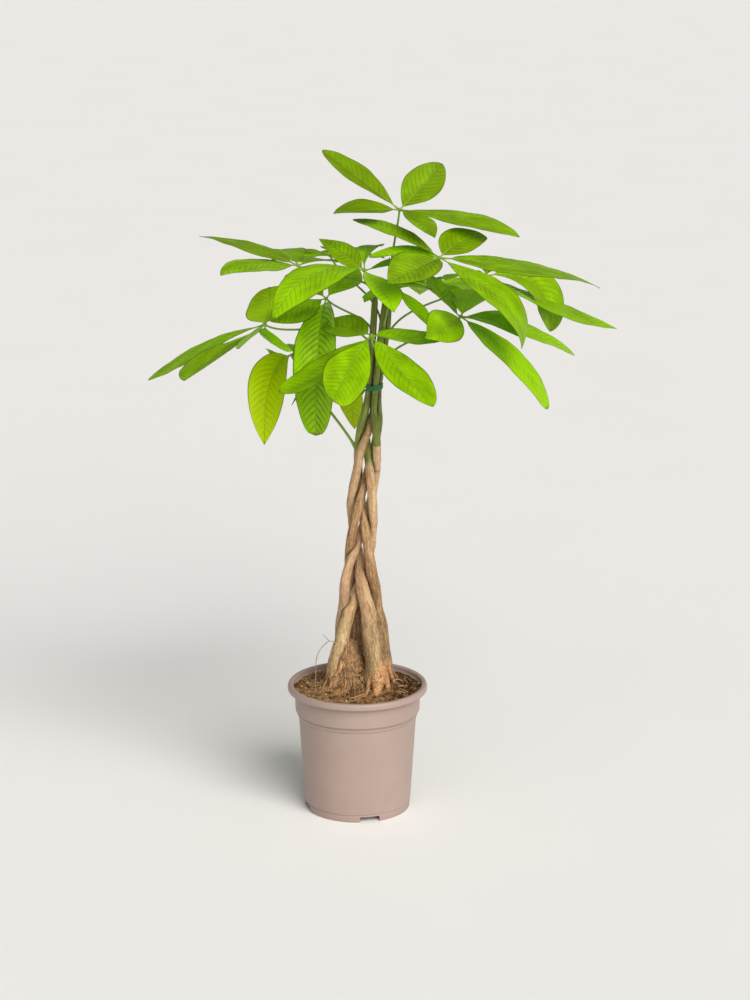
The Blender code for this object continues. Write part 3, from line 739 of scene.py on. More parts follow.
def bark_material():
    g = Graph("trunk_bark")
    v, x, y, s = g.attr("c1")
    _, green, root, ring = g.attr("c2")
    _, seed, z, painted_crease_shade = g.attr("c3")
    _, tint, pink, _ = g.attr("c4")
    shift = g.vec(g.mul(seed, 37.0), g.mul(seed, 91.0), 0.0)
    p0 = g.vop("ADD", v, shift)
    streak = g.noise(g.vop("MULTIPLY", p0, (0.55, 0.55, 0.045)), 1.0, 5.0,
                     0.62, 0.3)
    fine = g.noise(g.vop("MULTIPLY", p0, (1.5, 1.5, 0.22)), 1.0, 4.0, 0.65)
    patch = g.noise(g.vop("MULTIPLY", p0, (0.10, 0.10, 0.030)), 1.0, 3.0,
                    0.6, 0.4)
    crack = g.noise(g.vop("MULTIPLY", p0, (0.8, 0.8, 0.12)), 1.0, 6.0, 0.7,
                    0.8)
    low = g.step(z, 285.0, 190.0)          # rougher old bark near the soil
    mott = g.noise(g.vop("MULTIPLY", p0, (0.42, 0.42, 0.24)), 1.0, 4.0, 0.62,
                   0.5)
    k = g.add(g.mul(streak, 0.55), g.mul(patch, 0.45))
    k = g.add(k, g.mul(mott, 0.45))
    k = g.add(g.sub(k, 0.21), tint)
    k = g.add(k, g.mul(g.step(z, 330.0, 430.0),
                       g.add(0.02, g.mul(pink, 0.2))))
    tan = g.ramp(k, [(0.28, rgb(96, 66, 40)), (0.44, rgb(148, 112, 76)),
                     (0.56, rgb(185, 148, 106)), (0.74, rgb(219, 185, 145))])
    old = g.ramp(k, [(0.30, rgb(74, 50, 30)), (0.46, rgb(130, 101, 66)),
                     (0.58, rgb(174, 145, 99)), (0.76, rgb(218, 191, 145))])
    col = g.mix(low, tan, old)
    col = g.mix(g.mul(pink, 0.45), col, rgb(206, 168, 140))
    grey = g.step(g.noise(g.vop("MULTIPLY", p0, (0.2, 0.2, 0.07)), 1.0, 3.0,
                          0.6), 0.56, 0.68)
    col = g.mix(g.mul(grey, g.add(0.12, g.mul(low, 0.16))), col,
                rgb(158, 150, 118))
    dark = g.step(crack, 0.60, 0.72)
    col = g.mix(g.mul(dark, g.add(0.22, g.mul(low, 0.42))), col,
                rgb(84, 60, 38))
    speck = g.noise(g.vop("MULTIPLY", p0, (1.9, 1.9, 1.1)), 1.0, 3.0, 0.7)
    speckm = g.step(speck, 0.58, 0.68)
    col = g.mix(g.mul(speckm, g.add(0.12, g.mul(low, 0.5))), col,
                rgb(88, 66, 40))
    flake = g.step(g.noise(g.vop("MULTIPLY", p0, (0.9, 0.9, 0.35)), 1.0, 3.0,
                           0.6), 0.58, 0.70)
    col = g.mix(g.mul(flake, g.add(0.10, g.mul(low, 0.45))), col,
                rgb(226, 206, 158))
    # lenticels: short pale dashes across the trunk
    lent = g.voronoi(g.vop("MULTIPLY", p0, (0.28, 0.28, 0.42)), 1.0)
    lentm = g.step(lent, 0.20, 0.10)
    col = g.mix(g.mul(lentm, 0.22), col, rgb(214, 184, 140))
    col = g.mix(g.mul(ring, 0.55), col, rgb(84, 56, 34))
    # orange inner bark where the root collar is rubbed
    rk = g.noise(g.vop("MULTIPLY", p0, (0.35, 0.35, 0.25)), 1.0, 4.0, 0.6)
    orange = g.ramp(rk, [(0.30, rgb(132, 88, 50)), (0.5, rgb(190, 138, 90)),
                         (0.7, rgb(226, 188, 142))])
    col = g.mix(root, col, orange)
    # young green stem
    gk = g.add(g.mul(streak, 0.7), g.mul(patch, 0.35))
    young = g.ramp(gk, [(0.26, rgb(56, 66, 20)), (0.45, rgb(95, 107, 38)),
                        (0.60, rgb(130, 140, 60)), (0.78, rgb(168, 174, 96))])
    young = g.mix(g.mul(lentm, 0.3), young, rgb(170, 168, 108))
    young = g.mix(g.mul(ring, 0.45), young, rgb(146, 132, 84))
    col = g.mix(green, col, young)
    moss = g.step(g.noise(g.vop("MULTIPLY", p0, (0.5, 0.5, 0.3)), 1.0, 4.0,
                          0.65), 0.56, 0.66)
    col = g.mix(g.mul(g.mul(moss, low), 0.20), col, rgb(122, 118, 62))
    # painted shade: dark brown where the stems press together and low down
    # where they meet the soil
    col = g.mix(g.mul(painted_crease_shade, 0.88), col, rgb(38, 24, 12))
    rough = g.mixf(green, g.span(fine, 0.3, 0.7, 0.66, 0.86),
                   g.span(fine, 0.3, 0.7, 0.42, 0.6))
    h = g.add(g.mul(streak, 0.6), g.mul(fine, 0.4))
    h = g.add(h, g.mul(mott, 0.6))
    h = g.add(h, g.mul(dark, -0.5))
    h = g.add(h, g.mul(lentm, 0.2))
    h = g.add(h, g.mul(g.mul(speckm, low), -0.4))
    h = g.add(h, g.mul(ring, -0.4))
    nrm = g.bump(h, 0.9, 0.0012)
    p = g.principled(Base_Color=col, Roughness=rough, Normal=nrm,
                     Specular_IOR_Level=0.3)
    return g.done(p)


def root_material():
    g = Graph("surface_root")
    v, x, y, s = g.attr("c1")
    _, seed, pale, grey = g.attr("c2")
    p0 = g.vop("ADD", v, g.vec(g.mul(seed, 53.0), g.mul(seed, 17.0), 0.0))
    n = g.noise(g.vop("MULTIPLY", p0, (0.9, 0.9, 0.22)), 1.0, 5.0, 0.65, 0.4)
    n2 = g.noise(g.vop("MULTIPLY", p0, (0.16, 0.16, 0.10)), 1.0, 3.0, 0.6)
    n = g.add(g.mul(n, 0.75), g.mul(n2, 0.25))
    tan = g.ramp(n, [(0.3, rgb(70, 46, 26)), (0.46, rgb(128, 92, 56)),
                     (0.58, rgb(172, 136, 92)), (0.72, rgb(208, 180, 136))])
    warm = g.ramp(n, [(0.32, rgb(120, 74, 40)), (0.5, rgb(192, 136, 86)),
                      (0.66, rgb(226, 184, 132))])
    col = g.mix(pale, tan, warm)
    spot = g.step(g.noise(g.vop("MULTIPLY", p0, (0.7, 0.7, 0.45)), 1.0, 4.0,
                          0.7), 0.54, 0.64)
    col = g.mix(g.mul(spot, g.add(0.15, g.mul(pale, 0.55))), col,
                rgb(240, 212, 174))
    nick = g.step(g.noise(g.vop("MULTIPLY", p0, (1.4, 1.4, 0.8)), 1.0, 4.0,
                          0.7), 0.57, 0.66)
    col = g.mix(g.mul(nick, 0.55), col, rgb(92, 58, 32))
    col = g.mix(grey, col, rgb(160, 148, 124))
    # painted shade: dark brown nooks in patches over the roots
    painted_nook_shade = g.step(g.noise(g.vop("MULTIPLY", p0, (0.30, 0.30, 0.30)), 1.0, 4.0,
                          0.6), 0.47, 0.36)
    col = g.mix(g.mul(painted_nook_shade, 0.6), col, rgb(58, 36, 20))
    p = g.principled(Base_Color=col, Roughness=g.span(n, 0.3, 0.7, 0.6, 0.85),
                     Normal=g.bump(n, 0.8, 0.0009), Specular_IOR_Level=0.3)
    return g.done(p)


def soil_material():
    g = Graph("potting_soil")
    v, x, y, z = g.attr("c1")
    _, bump, wet, _ = g.attr("c2")
    a = g.noise(v, 0.085, 4.0, 0.65, 0.6)
    b = g.noise(v, 0.85, 5.0, 0.7, 0.8)
    c = g.voronoi(v, 0.55)
    k = g.sub(g.add(g.mul(a, 0.85), g.mul(b, 0.55)), 0.11)
    k = g.sub(k, g.mul(wet, 0.14))
    col = g.ramp(k, [(0.36, rgb(54, 34, 18)), (0.50, rgb(104, 72, 42)),
                     (0.60, rgb(148, 110, 68)), (0.72, rgb(190, 152, 104))])
    # painted shade: darker in the soil's hollows
    col = g.mix(g.step(bump, -0.4, -2.0), col, rgb(44, 28, 15))
    col = g.mix(g.mul(g.step(c, 0.18, 0.05), 0.5), col, rgb(176, 146, 104))
    h = g.add(b, g.mul(g.sub(1.0, c), 0.5))
    p = g.principled(Base_Color=col, Roughness=g.span(b, 0.3, 0.7, 0.82, 0.98),
                     Normal=g.bump(h, 1.0, 0.0016), Specular_IOR_Level=0.18)
    return g.done(p)


def crumb_material():
    g = Graph("soil_crumbs")
    v, x, y, z = g.attr("c1")
    _, shade, seed, _ = g.attr("c2")
    n = g.noise(g.vop("ADD", v, g.vec(g.mul(seed, 80.0), 0.0, 0.0)), 0.9, 4.0,
                0.7)
    k = g.add(shade, g.mul(g.sub(n, 0.5), 0.5))
    col = g.ramp(k, [(0.0, rgb(48, 31, 17)), (0.35, rgb(104, 72, 42)),
                     (0.65, rgb(158, 118, 74)), (1.0, rgb(216, 180, 130))])
    p = g.principled(Base_Color=col, Roughness=g.span(n, 0.3, 0.7, 0.78, 0.95),
                     Normal=g.bump(n, 0.9, 0.0008), Specular_IOR_Level=0.2)
    return g.done(p)


def pot_material():
    g = Graph("pot_plastic")
    v = g.place()
    a = g.noise(v, 14.0, 4.0, 0.55)
    b = g.noise(v, 900.0, 3.0, 0.6)
    c = g.noise(g.vop("MULTIPLY", v, (60.0, 60.0, 9.0)), 1.0, 4.0, 0.7, 0.6)
    sep = g.node("ShaderNodeSeparateXYZ")
    g.put(sep.inputs[0], v)
    col = g.ramp(g.add(g.mul(a, 0.6), g.mul(b, 0.4)),
                 [(0.3, rgb(157, 135, 125)), (0.5, rgb(163, 141, 131)),
                  (0.7, rgb(169, 147, 137))])
    scuff = g.step(c, 0.63, 0.75)
    col = g.mix(g.mul(scuff, 0.14), col, rgb(186, 166, 154))
    dust = g.mul(g.step(sep.outputs[2], 0.150, 0.158), g.step(a, 0.45, 0.65))
    col = g.mix(g.mul(dust, 0.2), col, rgb(140, 114, 94))
    low = g.mul(g.step(sep.outputs[2], 0.012, 0.001), 0.2)
    col = g.mix(low, col, rgb(136, 114, 102))
    # painted shade: a dark line in the groove under the rim and under the step,
    # where the overhang's shadow falls
    for z0, amount in ((POT_HEIGHT - RIM_DEPTH - 0.9, 0.62),
                       (STEP_Z + 5.4, 0.34)):
        zz = g.mul(g.math("ABSOLUTE", g.sub(g.mul(sep.outputs[2], 1000.0),
                                            z0)), 1.0)
        col = g.mix(g.mul(g.step(zz, 1.3, 0.5), amount), col,
                    rgb(84, 66, 58))
    rough = g.add(g.span(a, 0.3, 0.7, 0.40, 0.47), g.mul(scuff, 0.12))
    h = g.add(g.mul(b, 0.5), g.mul(c, 0.35))
    p = g.principled(Base_Color=col, Roughness=rough,
                     Normal=g.bump(h, 0.18, 0.0004), Specular_IOR_Level=0.45)
    return g.done(p)


def tie_material():
    g = Graph("green_tie")
    v, x, y, s = g.attr("c1")
    n = g.noise(g.vop("MULTIPLY", v, (1.5, 1.5, 0.3)), 1.0, 3.0, 0.6)
    rib = g.math("SINE", g.mul(s, 4.2))
    col = g.ramp(n, [(0.3, rgb(0, 76, 38)), (0.5, rgb(4, 104, 54)),
                     (0.7, rgb(24, 134, 76))])
    h = g.add(g.mul(rib, 0.3), n)
    p = g.principled(Base_Color=col, Roughness=g.span(n, 0.3, 0.7, 0.34, 0.5),
                     Normal=g.bump(h, 0.4, 0.0004))
    return g.done(p)


def floor_material():
    g = Graph("studio_floor")
    v = g.place()
    n = g.noise(v, 3.0, 3.0, 0.5)
    f = g.noise(v, 260.0, 2.0, 0.5)
    col = g.ramp(n, [(0.3, rgb(242, 240, 237)), (0.7, rgb(243, 241, 238))])
    p = g.principled(Base_Color=col, Roughness=g.span(n, 0.3, 0.7, 0.85, 0.9),
                     Normal=g.bump(f, 0.05, 0.0005), Specular_IOR_Level=0.15)
    return g.done(p)


# ------------------------------------------------------------------ leaves
def blade_shape(t, peak, tip):
    """Half-width 0..1 along a leaflet: narrow at its stalk, pointed tip."""
    u = np.clip((t - 0.06) / 0.94, 0, 1)
    f = np.sin(math.pi * u ** peak)
    return np.clip(f, 0, 1) ** np.where(u > 0.5 ** (1 / peak), tip, 0.85)


def midrib(hub, heading, rise, length, droop, bend, sweep, n):
    """Midrib points and directions. However it bends, its ends stay put."""
    L = length - 1.5
    a = math.radians(droop) / 2
    chord = L * (math.sin(a) / a if abs(a) > 1e-6 else 1.0)

    def direction(h, p):
        h, p = np.radians(h), np.radians(p)
        return np.stack([np.cos(h) * np.cos(p), np.sin(h) * np.cos(p),
                         np.sin(p)], -1)
    hub = np.asarray(hub, float)
    start = hub + direction(np.array(heading), np.array(rise + droop / 2)) \
        * 1.5
    end = start + direction(np.array(heading), np.array(float(rise))) * chord
    t = np.linspace(0, 1, n + 1)
    tm = (t[1:] + t[:-1]) / 2
    h0, p0, k = float(heading), float(rise), 1.0
    want = end - start
    for _ in range(8):
        d = direction(h0 + sweep * (0.5 - tm), p0 + droop * (0.5 - tm ** bend))
        v = d.sum(axis=0) * L * k / n
        h0 += math.degrees(math.atan2(want[1], want[0])
                           - math.atan2(v[1], v[0]))
        p0 += math.degrees(math.asin(want[2] / np.linalg.norm(want))
                           - math.asin(v[2] / np.linalg.norm(v)))
        k *= np.linalg.norm(want) / np.linalg.norm(v)
    d = direction(h0 + sweep * (0.5 - tm), p0 + droop * (0.5 - tm ** bend))
    pts = np.concatenate([[start], start + np.cumsum(d, axis=0) * L * k / n])
    hd = h0 + sweep * (0.5 - t)
    dn = direction(hd, p0 + droop * (0.5 - t ** bend))
    return pts, dn, np.radians(hd), L * k


def add_leaflet(build, hub, row, seed, own, n=60, mat=0):
    heading, rise, length, width, droop, roll = row
    own = dict(own)
    heading += own.get("dh", 0)
    rise += own.get("dr", 0)
    length *= own.get("dl", 1.0)
    width = own.get("width", width)
    roll = own.get("roll", roll)
    droop = own.get("droop", droop)
    bend, sweep = own.get("bend", 1.0), own.get("sweep", 0.0)
    twist, fold = own.get("twist", 0.0), own.get("fold", 13.0)
    cup, quilt = own.get("cup", 1.6), own.get("quilt", 0.44)
    wave = own.get("wave", 0.5)
    peak, tip = own.get("peak", 1.15), own.get("tip", 0.9)
    wl, wr = own.get("left", 1.0), own.get("right", 1.0)
    rnd = random.Random(seed)
    P, D, H, L = midrib(hub, heading, rise, length, droop, bend, sweep, n)
    t = np.linspace(0, 1, n + 1)
    side0 = np.stack([-np.sin(H), np.cos(H), np.zeros_like(H)], -1)
    up = np.cross(D, side0)
    r = np.radians(roll + twist * (t - 0.5))[:, None]
    S = side0 * np.cos(r) + up * np.sin(r)
    U = up * np.cos(r) - side0 * np.sin(r)
    w = np.maximum(width / 2 * blade_shape(t, peak, tip),
                   np.interp(t, [0, 0.08, 0.9, 1], [0.95, 0.8, 0.5, 0.16]))
    fr = np.array([0.0, 0.022, 0.055, 0.13, 0.24, 0.36, 0.49, 0.62, 0.75,
                   0.87, 0.955, 1.0])
    cols = np.concatenate([-fr[:0:-1], fr])          # -1 .. 1, midrib at 0
    m = len(cols)
    q = np.abs(cols)[None, :] * np.ones((n + 1, 1))
    half = w[:, None] * np.where(cols > 0, wl, wr)[None, :]
    x = cols[None, :] * half
    s = t[:, None] * L * np.ones((1, m))
    f = math.radians(fold) * np.interp(t, [0, 0.15, 0.6, 1],
                                       [1.5, 1.25, 1.0, 0.6])[:, None]
    ax = np.abs(x)
    lift = np.tan(f) * (np.sqrt(ax * ax + 1.0) - 1.0)
    wide = width / 2
    lift -= cup * (ax / wide) ** 2 * np.interp(t, [0, .3, .8, 1],
                                               [.2, 1, 1, .6])[:, None]
    # margins wave gently, each side on its own
    for sign in (1, -1):
        a1, a2 = rnd.uniform(0, 6.28), rnd.uniform(0, 6.28)
        l1, l2 = rnd.uniform(34, 52), rnd.uniform(17, 26)
        amp = (np.sin(s * 6.283 / l1 + a1) * 0.75
               + np.sin(s * 6.283 / l2 + a2) * 0.28) * wave
        on = (np.sign(x) == sign)
        lift += on * amp * q ** 2 * np.minimum(1, half / (0.4 * wide)) \
            * np.minimum(1, half / wide + 0.15)
    # blade arches between its side veins
    ph = vein_phase_py(s, x, np.maximum(half, 0.3), seed % 97 / 97.0)
    tri = np.abs((ph % 1.0) - 0.5)
    arch = np.cos(math.pi * tri) ** 0.8
    window = np.clip(half / (0.35 * wide), 0, 1) * np.sin(
        math.pi * np.clip(q * 0.86 + 0.08, 0, 1))
    lift += quilt * (arch - 0.5) * window
    base = P[:, None] + S[:, None] * (x * np.cos(f))[..., None] \
        + U[:, None] * lift[..., None]
    stalk = smooth_step(1 - t / 0.085)[:, None]
    thick = 0.20 * (1 - 0.6 * q ** 2) + 0.05 + 0.55 * stalk * (1 - 0.6 * q)
    rib = np.exp(-(ax / 0.75) ** 2)
    top = base + U[:, None] * (thick - 0.12 * rib * (1 - stalk))[..., None]
    low = base - U[:, None] * (thick + 0.75 * rib
                               * (1 - 0.8 * t)[:, None])[..., None]
    N = (n + 1) * m
    i = np.arange(n)[:, None]
    j = np.arange(m - 1)[None, :]
    a = (i * m + j)
    ftop = np.stack([a, a + m, a + m + 1, a + 1], -1).reshape(-1, 4)
    # columns run from the right (-) to the left (+): wind so normals face up
    flow = ftop[:, ::-1] + N
    k = np.arange(n) * m
    right = np.stack([k, k + N, k + m + N, k + m], -1)
    kl = k + m - 1
    left = np.stack([kl, kl + m, kl + m + N, kl + N], -1)
    jj = np.arange(m - 1)
    first = np.stack([jj, jj + 1, jj + 1 + N, jj + N], -1)
    e = n * m + jj
    last = np.stack([e, e + N, e + 1 + N, e + 1], -1)
    verts = np.concatenate([top.reshape(-1, 3), low.reshape(-1, 3)])
    c1 = np.stack([s, x, half], -1).reshape(-1, 3)
    sd = seed % 97 / 97.0
    c2t = np.stack([t[:, None] * np.ones((1, m)), np.full((n + 1, m), sd),
                    np.ones((n + 1, m))], -1).reshape(-1, 3)
    c2b = c2t * np.array([1, 1, -1])
    c3 = np.array([own.get("tone", 0.35), own.get("warm", 0.0),
                   own.get("gloss_and_painted_light", 0.0)])
    build.add(verts, [ftop, flow, right, left, first, last], mat,
              c1=np.concatenate([c1, c1]), c2=np.concatenate([c2t, c2b]),
              c3=c3)


def bezier(p0, p1, p2, p3, n):
    t = np.linspace(0, 1, n + 1)[:, None]
    return (p0 * (1 - t) ** 3 + p1 * 3 * t * (1 - t) ** 2
            + p2 * 3 * t * t * (1 - t) + p3 * t ** 3)


def stalk_path(key, z, side, hub, n=36):
    hub = np.asarray(hub, float)
    c = stem_centre(key, z)
    if side is None:
        out = c - stem_centre(key, z - 8.0)
        out /= np.linalg.norm(out)
        p0 = c - out * 3.0
        d = np.linalg.norm(hub - p0)
        p1 = p0 + out * d * 0.35
    else:
        a = math.radians(side)
        out = np.array([math.cos(a), math.sin(a), 0.0])
        p0 = c + out * (girth(z, key) - 1.5)
        d = np.linalg.norm(hub - p0)
        p1 = p0 + out * d * 0.16 + np.array([0, 0, d * 0.28])
    go = (hub - p0) / d
    p2 = hub - (go * 0.6 + np.array([0, 0, 0.3])) * d * 0.35
    return bezier(p0, p1, p2, hub, n)


def add_leaf(name, spec, mats):
    key, z, side, hub, leaflets = spec
    number = int(name[-2:])
    b = Build()
    pts = stalk_path(key, z, side, hub)
    t = np.linspace(0, 1, len(pts))
    rad = (1.65 if number == 9 else 1.30) \
        + 0.95 * np.exp(-(t / 0.045) ** 2) \
        + 0.55 * np.exp(-((1 - t) / 0.03) ** 2) - 0.12 * t
    add_tube(b, pts, rad, 12, 1, c2=(0, number / 13.0, 0))
    # where along the stalk each point is
    k = (len(pts) + 4) * 12
    b.att["c2"][-1][:, 0] = np.clip(np.repeat(
        np.concatenate([[0, 0], t, [1, 1]]), 12), 0, 1)[:k]
    # knuckle: a squashed ball
    prof = [(0, -2.6), (1.4, -2.2), (2.2, -1.2), (2.5, 0.0), (2.2, 1.1),
            (1.3, 1.8), (0, 2.0)]
    verts, quads, tris = turned(prof, 14)
    verts = np.array(verts) + np.array(hub)
    quads, tris = np.array(quads)[:, ::-1], np.array(tris)[:, ::-1]
    b.add(verts, [quads, tris], 1, c1=verts * 0.7, c2=(1.0, number / 13.0, 0))
    for i, row in enumerate(leaflets):
        add_leaflet(b, hub, row, number * 10 + i + 1,
                    OWN.get((number, i + 1), {}))
    return b.object(name + "_blade", mats, name, "leaf")


# ------------------------------------------------------------------ trunks
def trunk(key, mats):
    name, x0, y0, phase, ring, top = STEMS[key]
    seed = list(STEMS).index(key) + 1
    rnd = random.Random(seed * 11)
    zs = np.concatenate([np.arange(126, top, 1.25), [top]])
    pts = np.array([stem_centre(key, z) for z in zs])
    R = np.array([girth(z, key) for z in zs])
    R *= 1 - 0.45 * smooth_step((zs - (top - 9)) / 9) ** 2
    t, u, v = frames(pts, (1.0, 0.0, 0.0))
    arc = np.concatenate([[0], np.cumsum(np.linalg.norm(
        np.diff(pts, axis=0), axis=1))])
    sides = 40
    ang = np.arange(sides) * 2 * math.pi / sides
    rings = []
    zz = 250.0 + rnd.uniform(0, 60)
    while zz < top - 6:                      # scars of shed leaves
        old = zz < 500
        rings.append((zz, rnd.uniform(0.08, 0.22) if old
                      else rnd.uniform(0.3, 0.8), rnd.uniform(0, 6.28)))
        zz += rnd.uniform(40, 90) if old else rnd.uniform(11, 22)
    if key == "S1":
        rings.append((427.0, 1.3, 4.7))
    knobs = [(rnd.uniform(160, 460), rnd.uniform(0, 6.28),
              rnd.uniform(0.4, 1.1), rnd.uniform(3, 6)) for _ in range(9)]
    if key == "S3":
        knobs += [(z, a, 1.5, 5.0) for z, a in
                  ((338, 4.9), (352, 4.3), (364, 5.3), (330, 5.6))]
    lobes = rnd.randrange(3, 5)
    lobe_at = rnd.uniform(0, 6.28)
    from_z, soft = GREEN_FROM[key]
    rows, c1, c2, c3 = [], [], [], []
    for k, z in enumerate(zs):
        base = float(smooth_step((235 - z) / 70.0))
        r = np.full(sides, R[k])
        r += R[k] * (0.07 * base * np.cos(lobes * ang + lobe_at + z / 45.0)
                     + 0.05 * base * np.cos((lobes + 2) * ang - z / 30.0))
        ringm = 0.0
        tilt = np.zeros(sides)
        rm = np.zeros(sides)
        for zr, amp, at in rings:
            off = (z + 1.1 * np.cos(ang - at) - zr) / 1.5
            rm = np.maximum(rm, np.exp(-off * off) * min(1.0, amp * 1.1))
            tilt += 0.34 * amp * np.exp(-((off - 0.9) / 1.3) ** 2)
        r += tilt
        for zk, ak, amp, size in knobs:
            if abs(z - zk) < size * 2.5:
                da = (ang - ak + math.pi) % (2 * math.pi) - math.pi
                r += amp * math.exp(-((z - zk) / size) ** 2) \
                    * np.exp(-(da * R[k] / size) ** 2)
        co, si = np.cos(ang), np.sin(ang)
        rough = 1.0 - 0.75 * float(smooth_step((z - from_z) / soft))
        for i in range(sides):
            q = Vector((R[k] * co[i] * 0.22 + seed * 9, R[k] * si[i] * 0.22,
                        arc[k] * 0.030))
            n1 = noise.fractal(q, 0.9, 2.0, 3)
            q2 = Vector((co[i] * 2.6 + seed * 5, si[i] * 2.6, arc[k] * 0.05))
            n2 = noise.noise(q2)
            r[i] += (0.42 * n1 * (1 + 2.1 * base) + 0.26 * n2) * rough
        rows.append(pts[k] + (u[k] * co[:, None] + v[k] * si[:, None])
                    * r[:, None])
        c1.append(np.stack([R[k] * co, R[k] * si, np.full(sides, arc[k])],
                           -1))
        g = float(smooth_step((z - from_z + soft * 0.5) / soft))
        fr = rows[-1]
        root = np.zeros(sides)
        if key == "S2":
            root = smooth_step((180 - z + 7 * np.sin(ang * 3)) / 14) \
                * smooth_step((-(fr[:, 1] - pts[k][1]) / R[k] + 0.15) / 0.5)
        if key == "S4":
            root = 0.7 * smooth_step((196 - z + 6 * np.sin(ang * 2)) / 16) \
                * smooth_step((-(fr[:, 1] - pts[k][1]) / R[k] - 0.1) / 0.5)
        if key == "S3":
            root = 0.55 * smooth_step((172 - z + 5 * np.sin(ang * 3)) / 10) \
                * smooth_step((-(fr[:, 1] - pts[k][1]) / R[k]) / 0.5)
        c2.append(np.stack([np.full(sides, g), root, rm], -1))
        # painted shade where this stem presses on another, and low down by the
        # soil line
        painted_crease_shade = np.maximum(float(smooth_step((158 - z) / 10)) * 0.6,
                         closeness(key, fr))
        c3.append(np.stack([np.full(sides, seed * 0.7), np.full(sides, z),
                            painted_crease_shade], -1))
    verts = np.concatenate(rows)
    n = len(zs)
    b = Build()
    quads = ring_faces(n, sides)
    low_c, top_c = len(verts), len(verts) + 1
    verts = np.concatenate([verts, [pts[0] - t[0] * 2], [pts[-1] + t[-1] * 1]])
    tris = [(low_c, (i + 1) % sides, i) for i in range(sides)] \
        + [(top_c, (n - 1) * sides + i, (n - 1) * sides + (i + 1) % sides)
           for i in range(sides)]

    def closed(a):
        a = np.concatenate(a)
        return np.concatenate([a, [a[0]], [a[-1]]])
    b.add(verts, [quads, tris], 0, c1=closed(c1), c2=closed(c2),
          c3=closed(c3), c4=BARK_TINT[key])
    # bud scales at the growing tip
    tip = stem_centre(key, top)
    grow = tip - stem_centre(key, top - 8)
    grow /= np.linalg.norm(grow)
    for i in range(3):
        a = i * 2.1 + seed
        out = np.array([math.cos(a), math.sin(a), 0.0])
        p0 = tip + out * 1.6 - grow * 2
        p = bezier(p0, p0 + grow * 3 + out * 1.2, p0 + grow * 7 + out * 1.8,
                   p0 + grow * 10 + out * 1.0, 10)
        add_tube(b, p, np.interp(np.linspace(0, 1, 11), [0, .3, 1],
                                 [1.6, 1.5, .35]), 8, 0,
                 c2=(1, 0, 0), c3=(seed * .7, 650, 0), squash=0.6)
    return b.object(name + "_stem", mats, name, "bark")


# -------------------------------------------------------------------- soil
def soil_height(x, y):
    r = np.hypot(x, y)
    z = SOIL_Z + SOIL_MOUND * 0.75 * smooth_step((66 - r) / 50.0)
    # heaped round the trunks, and matted with roots between them
    for cx, cy, h, w in ((-9, -2, 30, 12), (0, 10, 22, 16), (-26, -2, 9, 16),
                         (26, -8, 8, 16), (2, -12, 7, 12)):
        z = z + h * np.exp(-((x - cx) ** 2 + (y - cy) ** 2) / (2 * w * w))
    back = smooth_step((y + 10.0) / 50.0)
    z = z + (3.4 - 2.2 * back) * smooth_step((r - 30) / 30.0)
    return np.maximum(z, SOIL_Z + 1.2)


def damp(x, y):
    """How damp and dark the soil is: most at the right and at the back."""
    return smooth_step((x * 0.8 + y * 0.45 + 8.0) / 52.0)


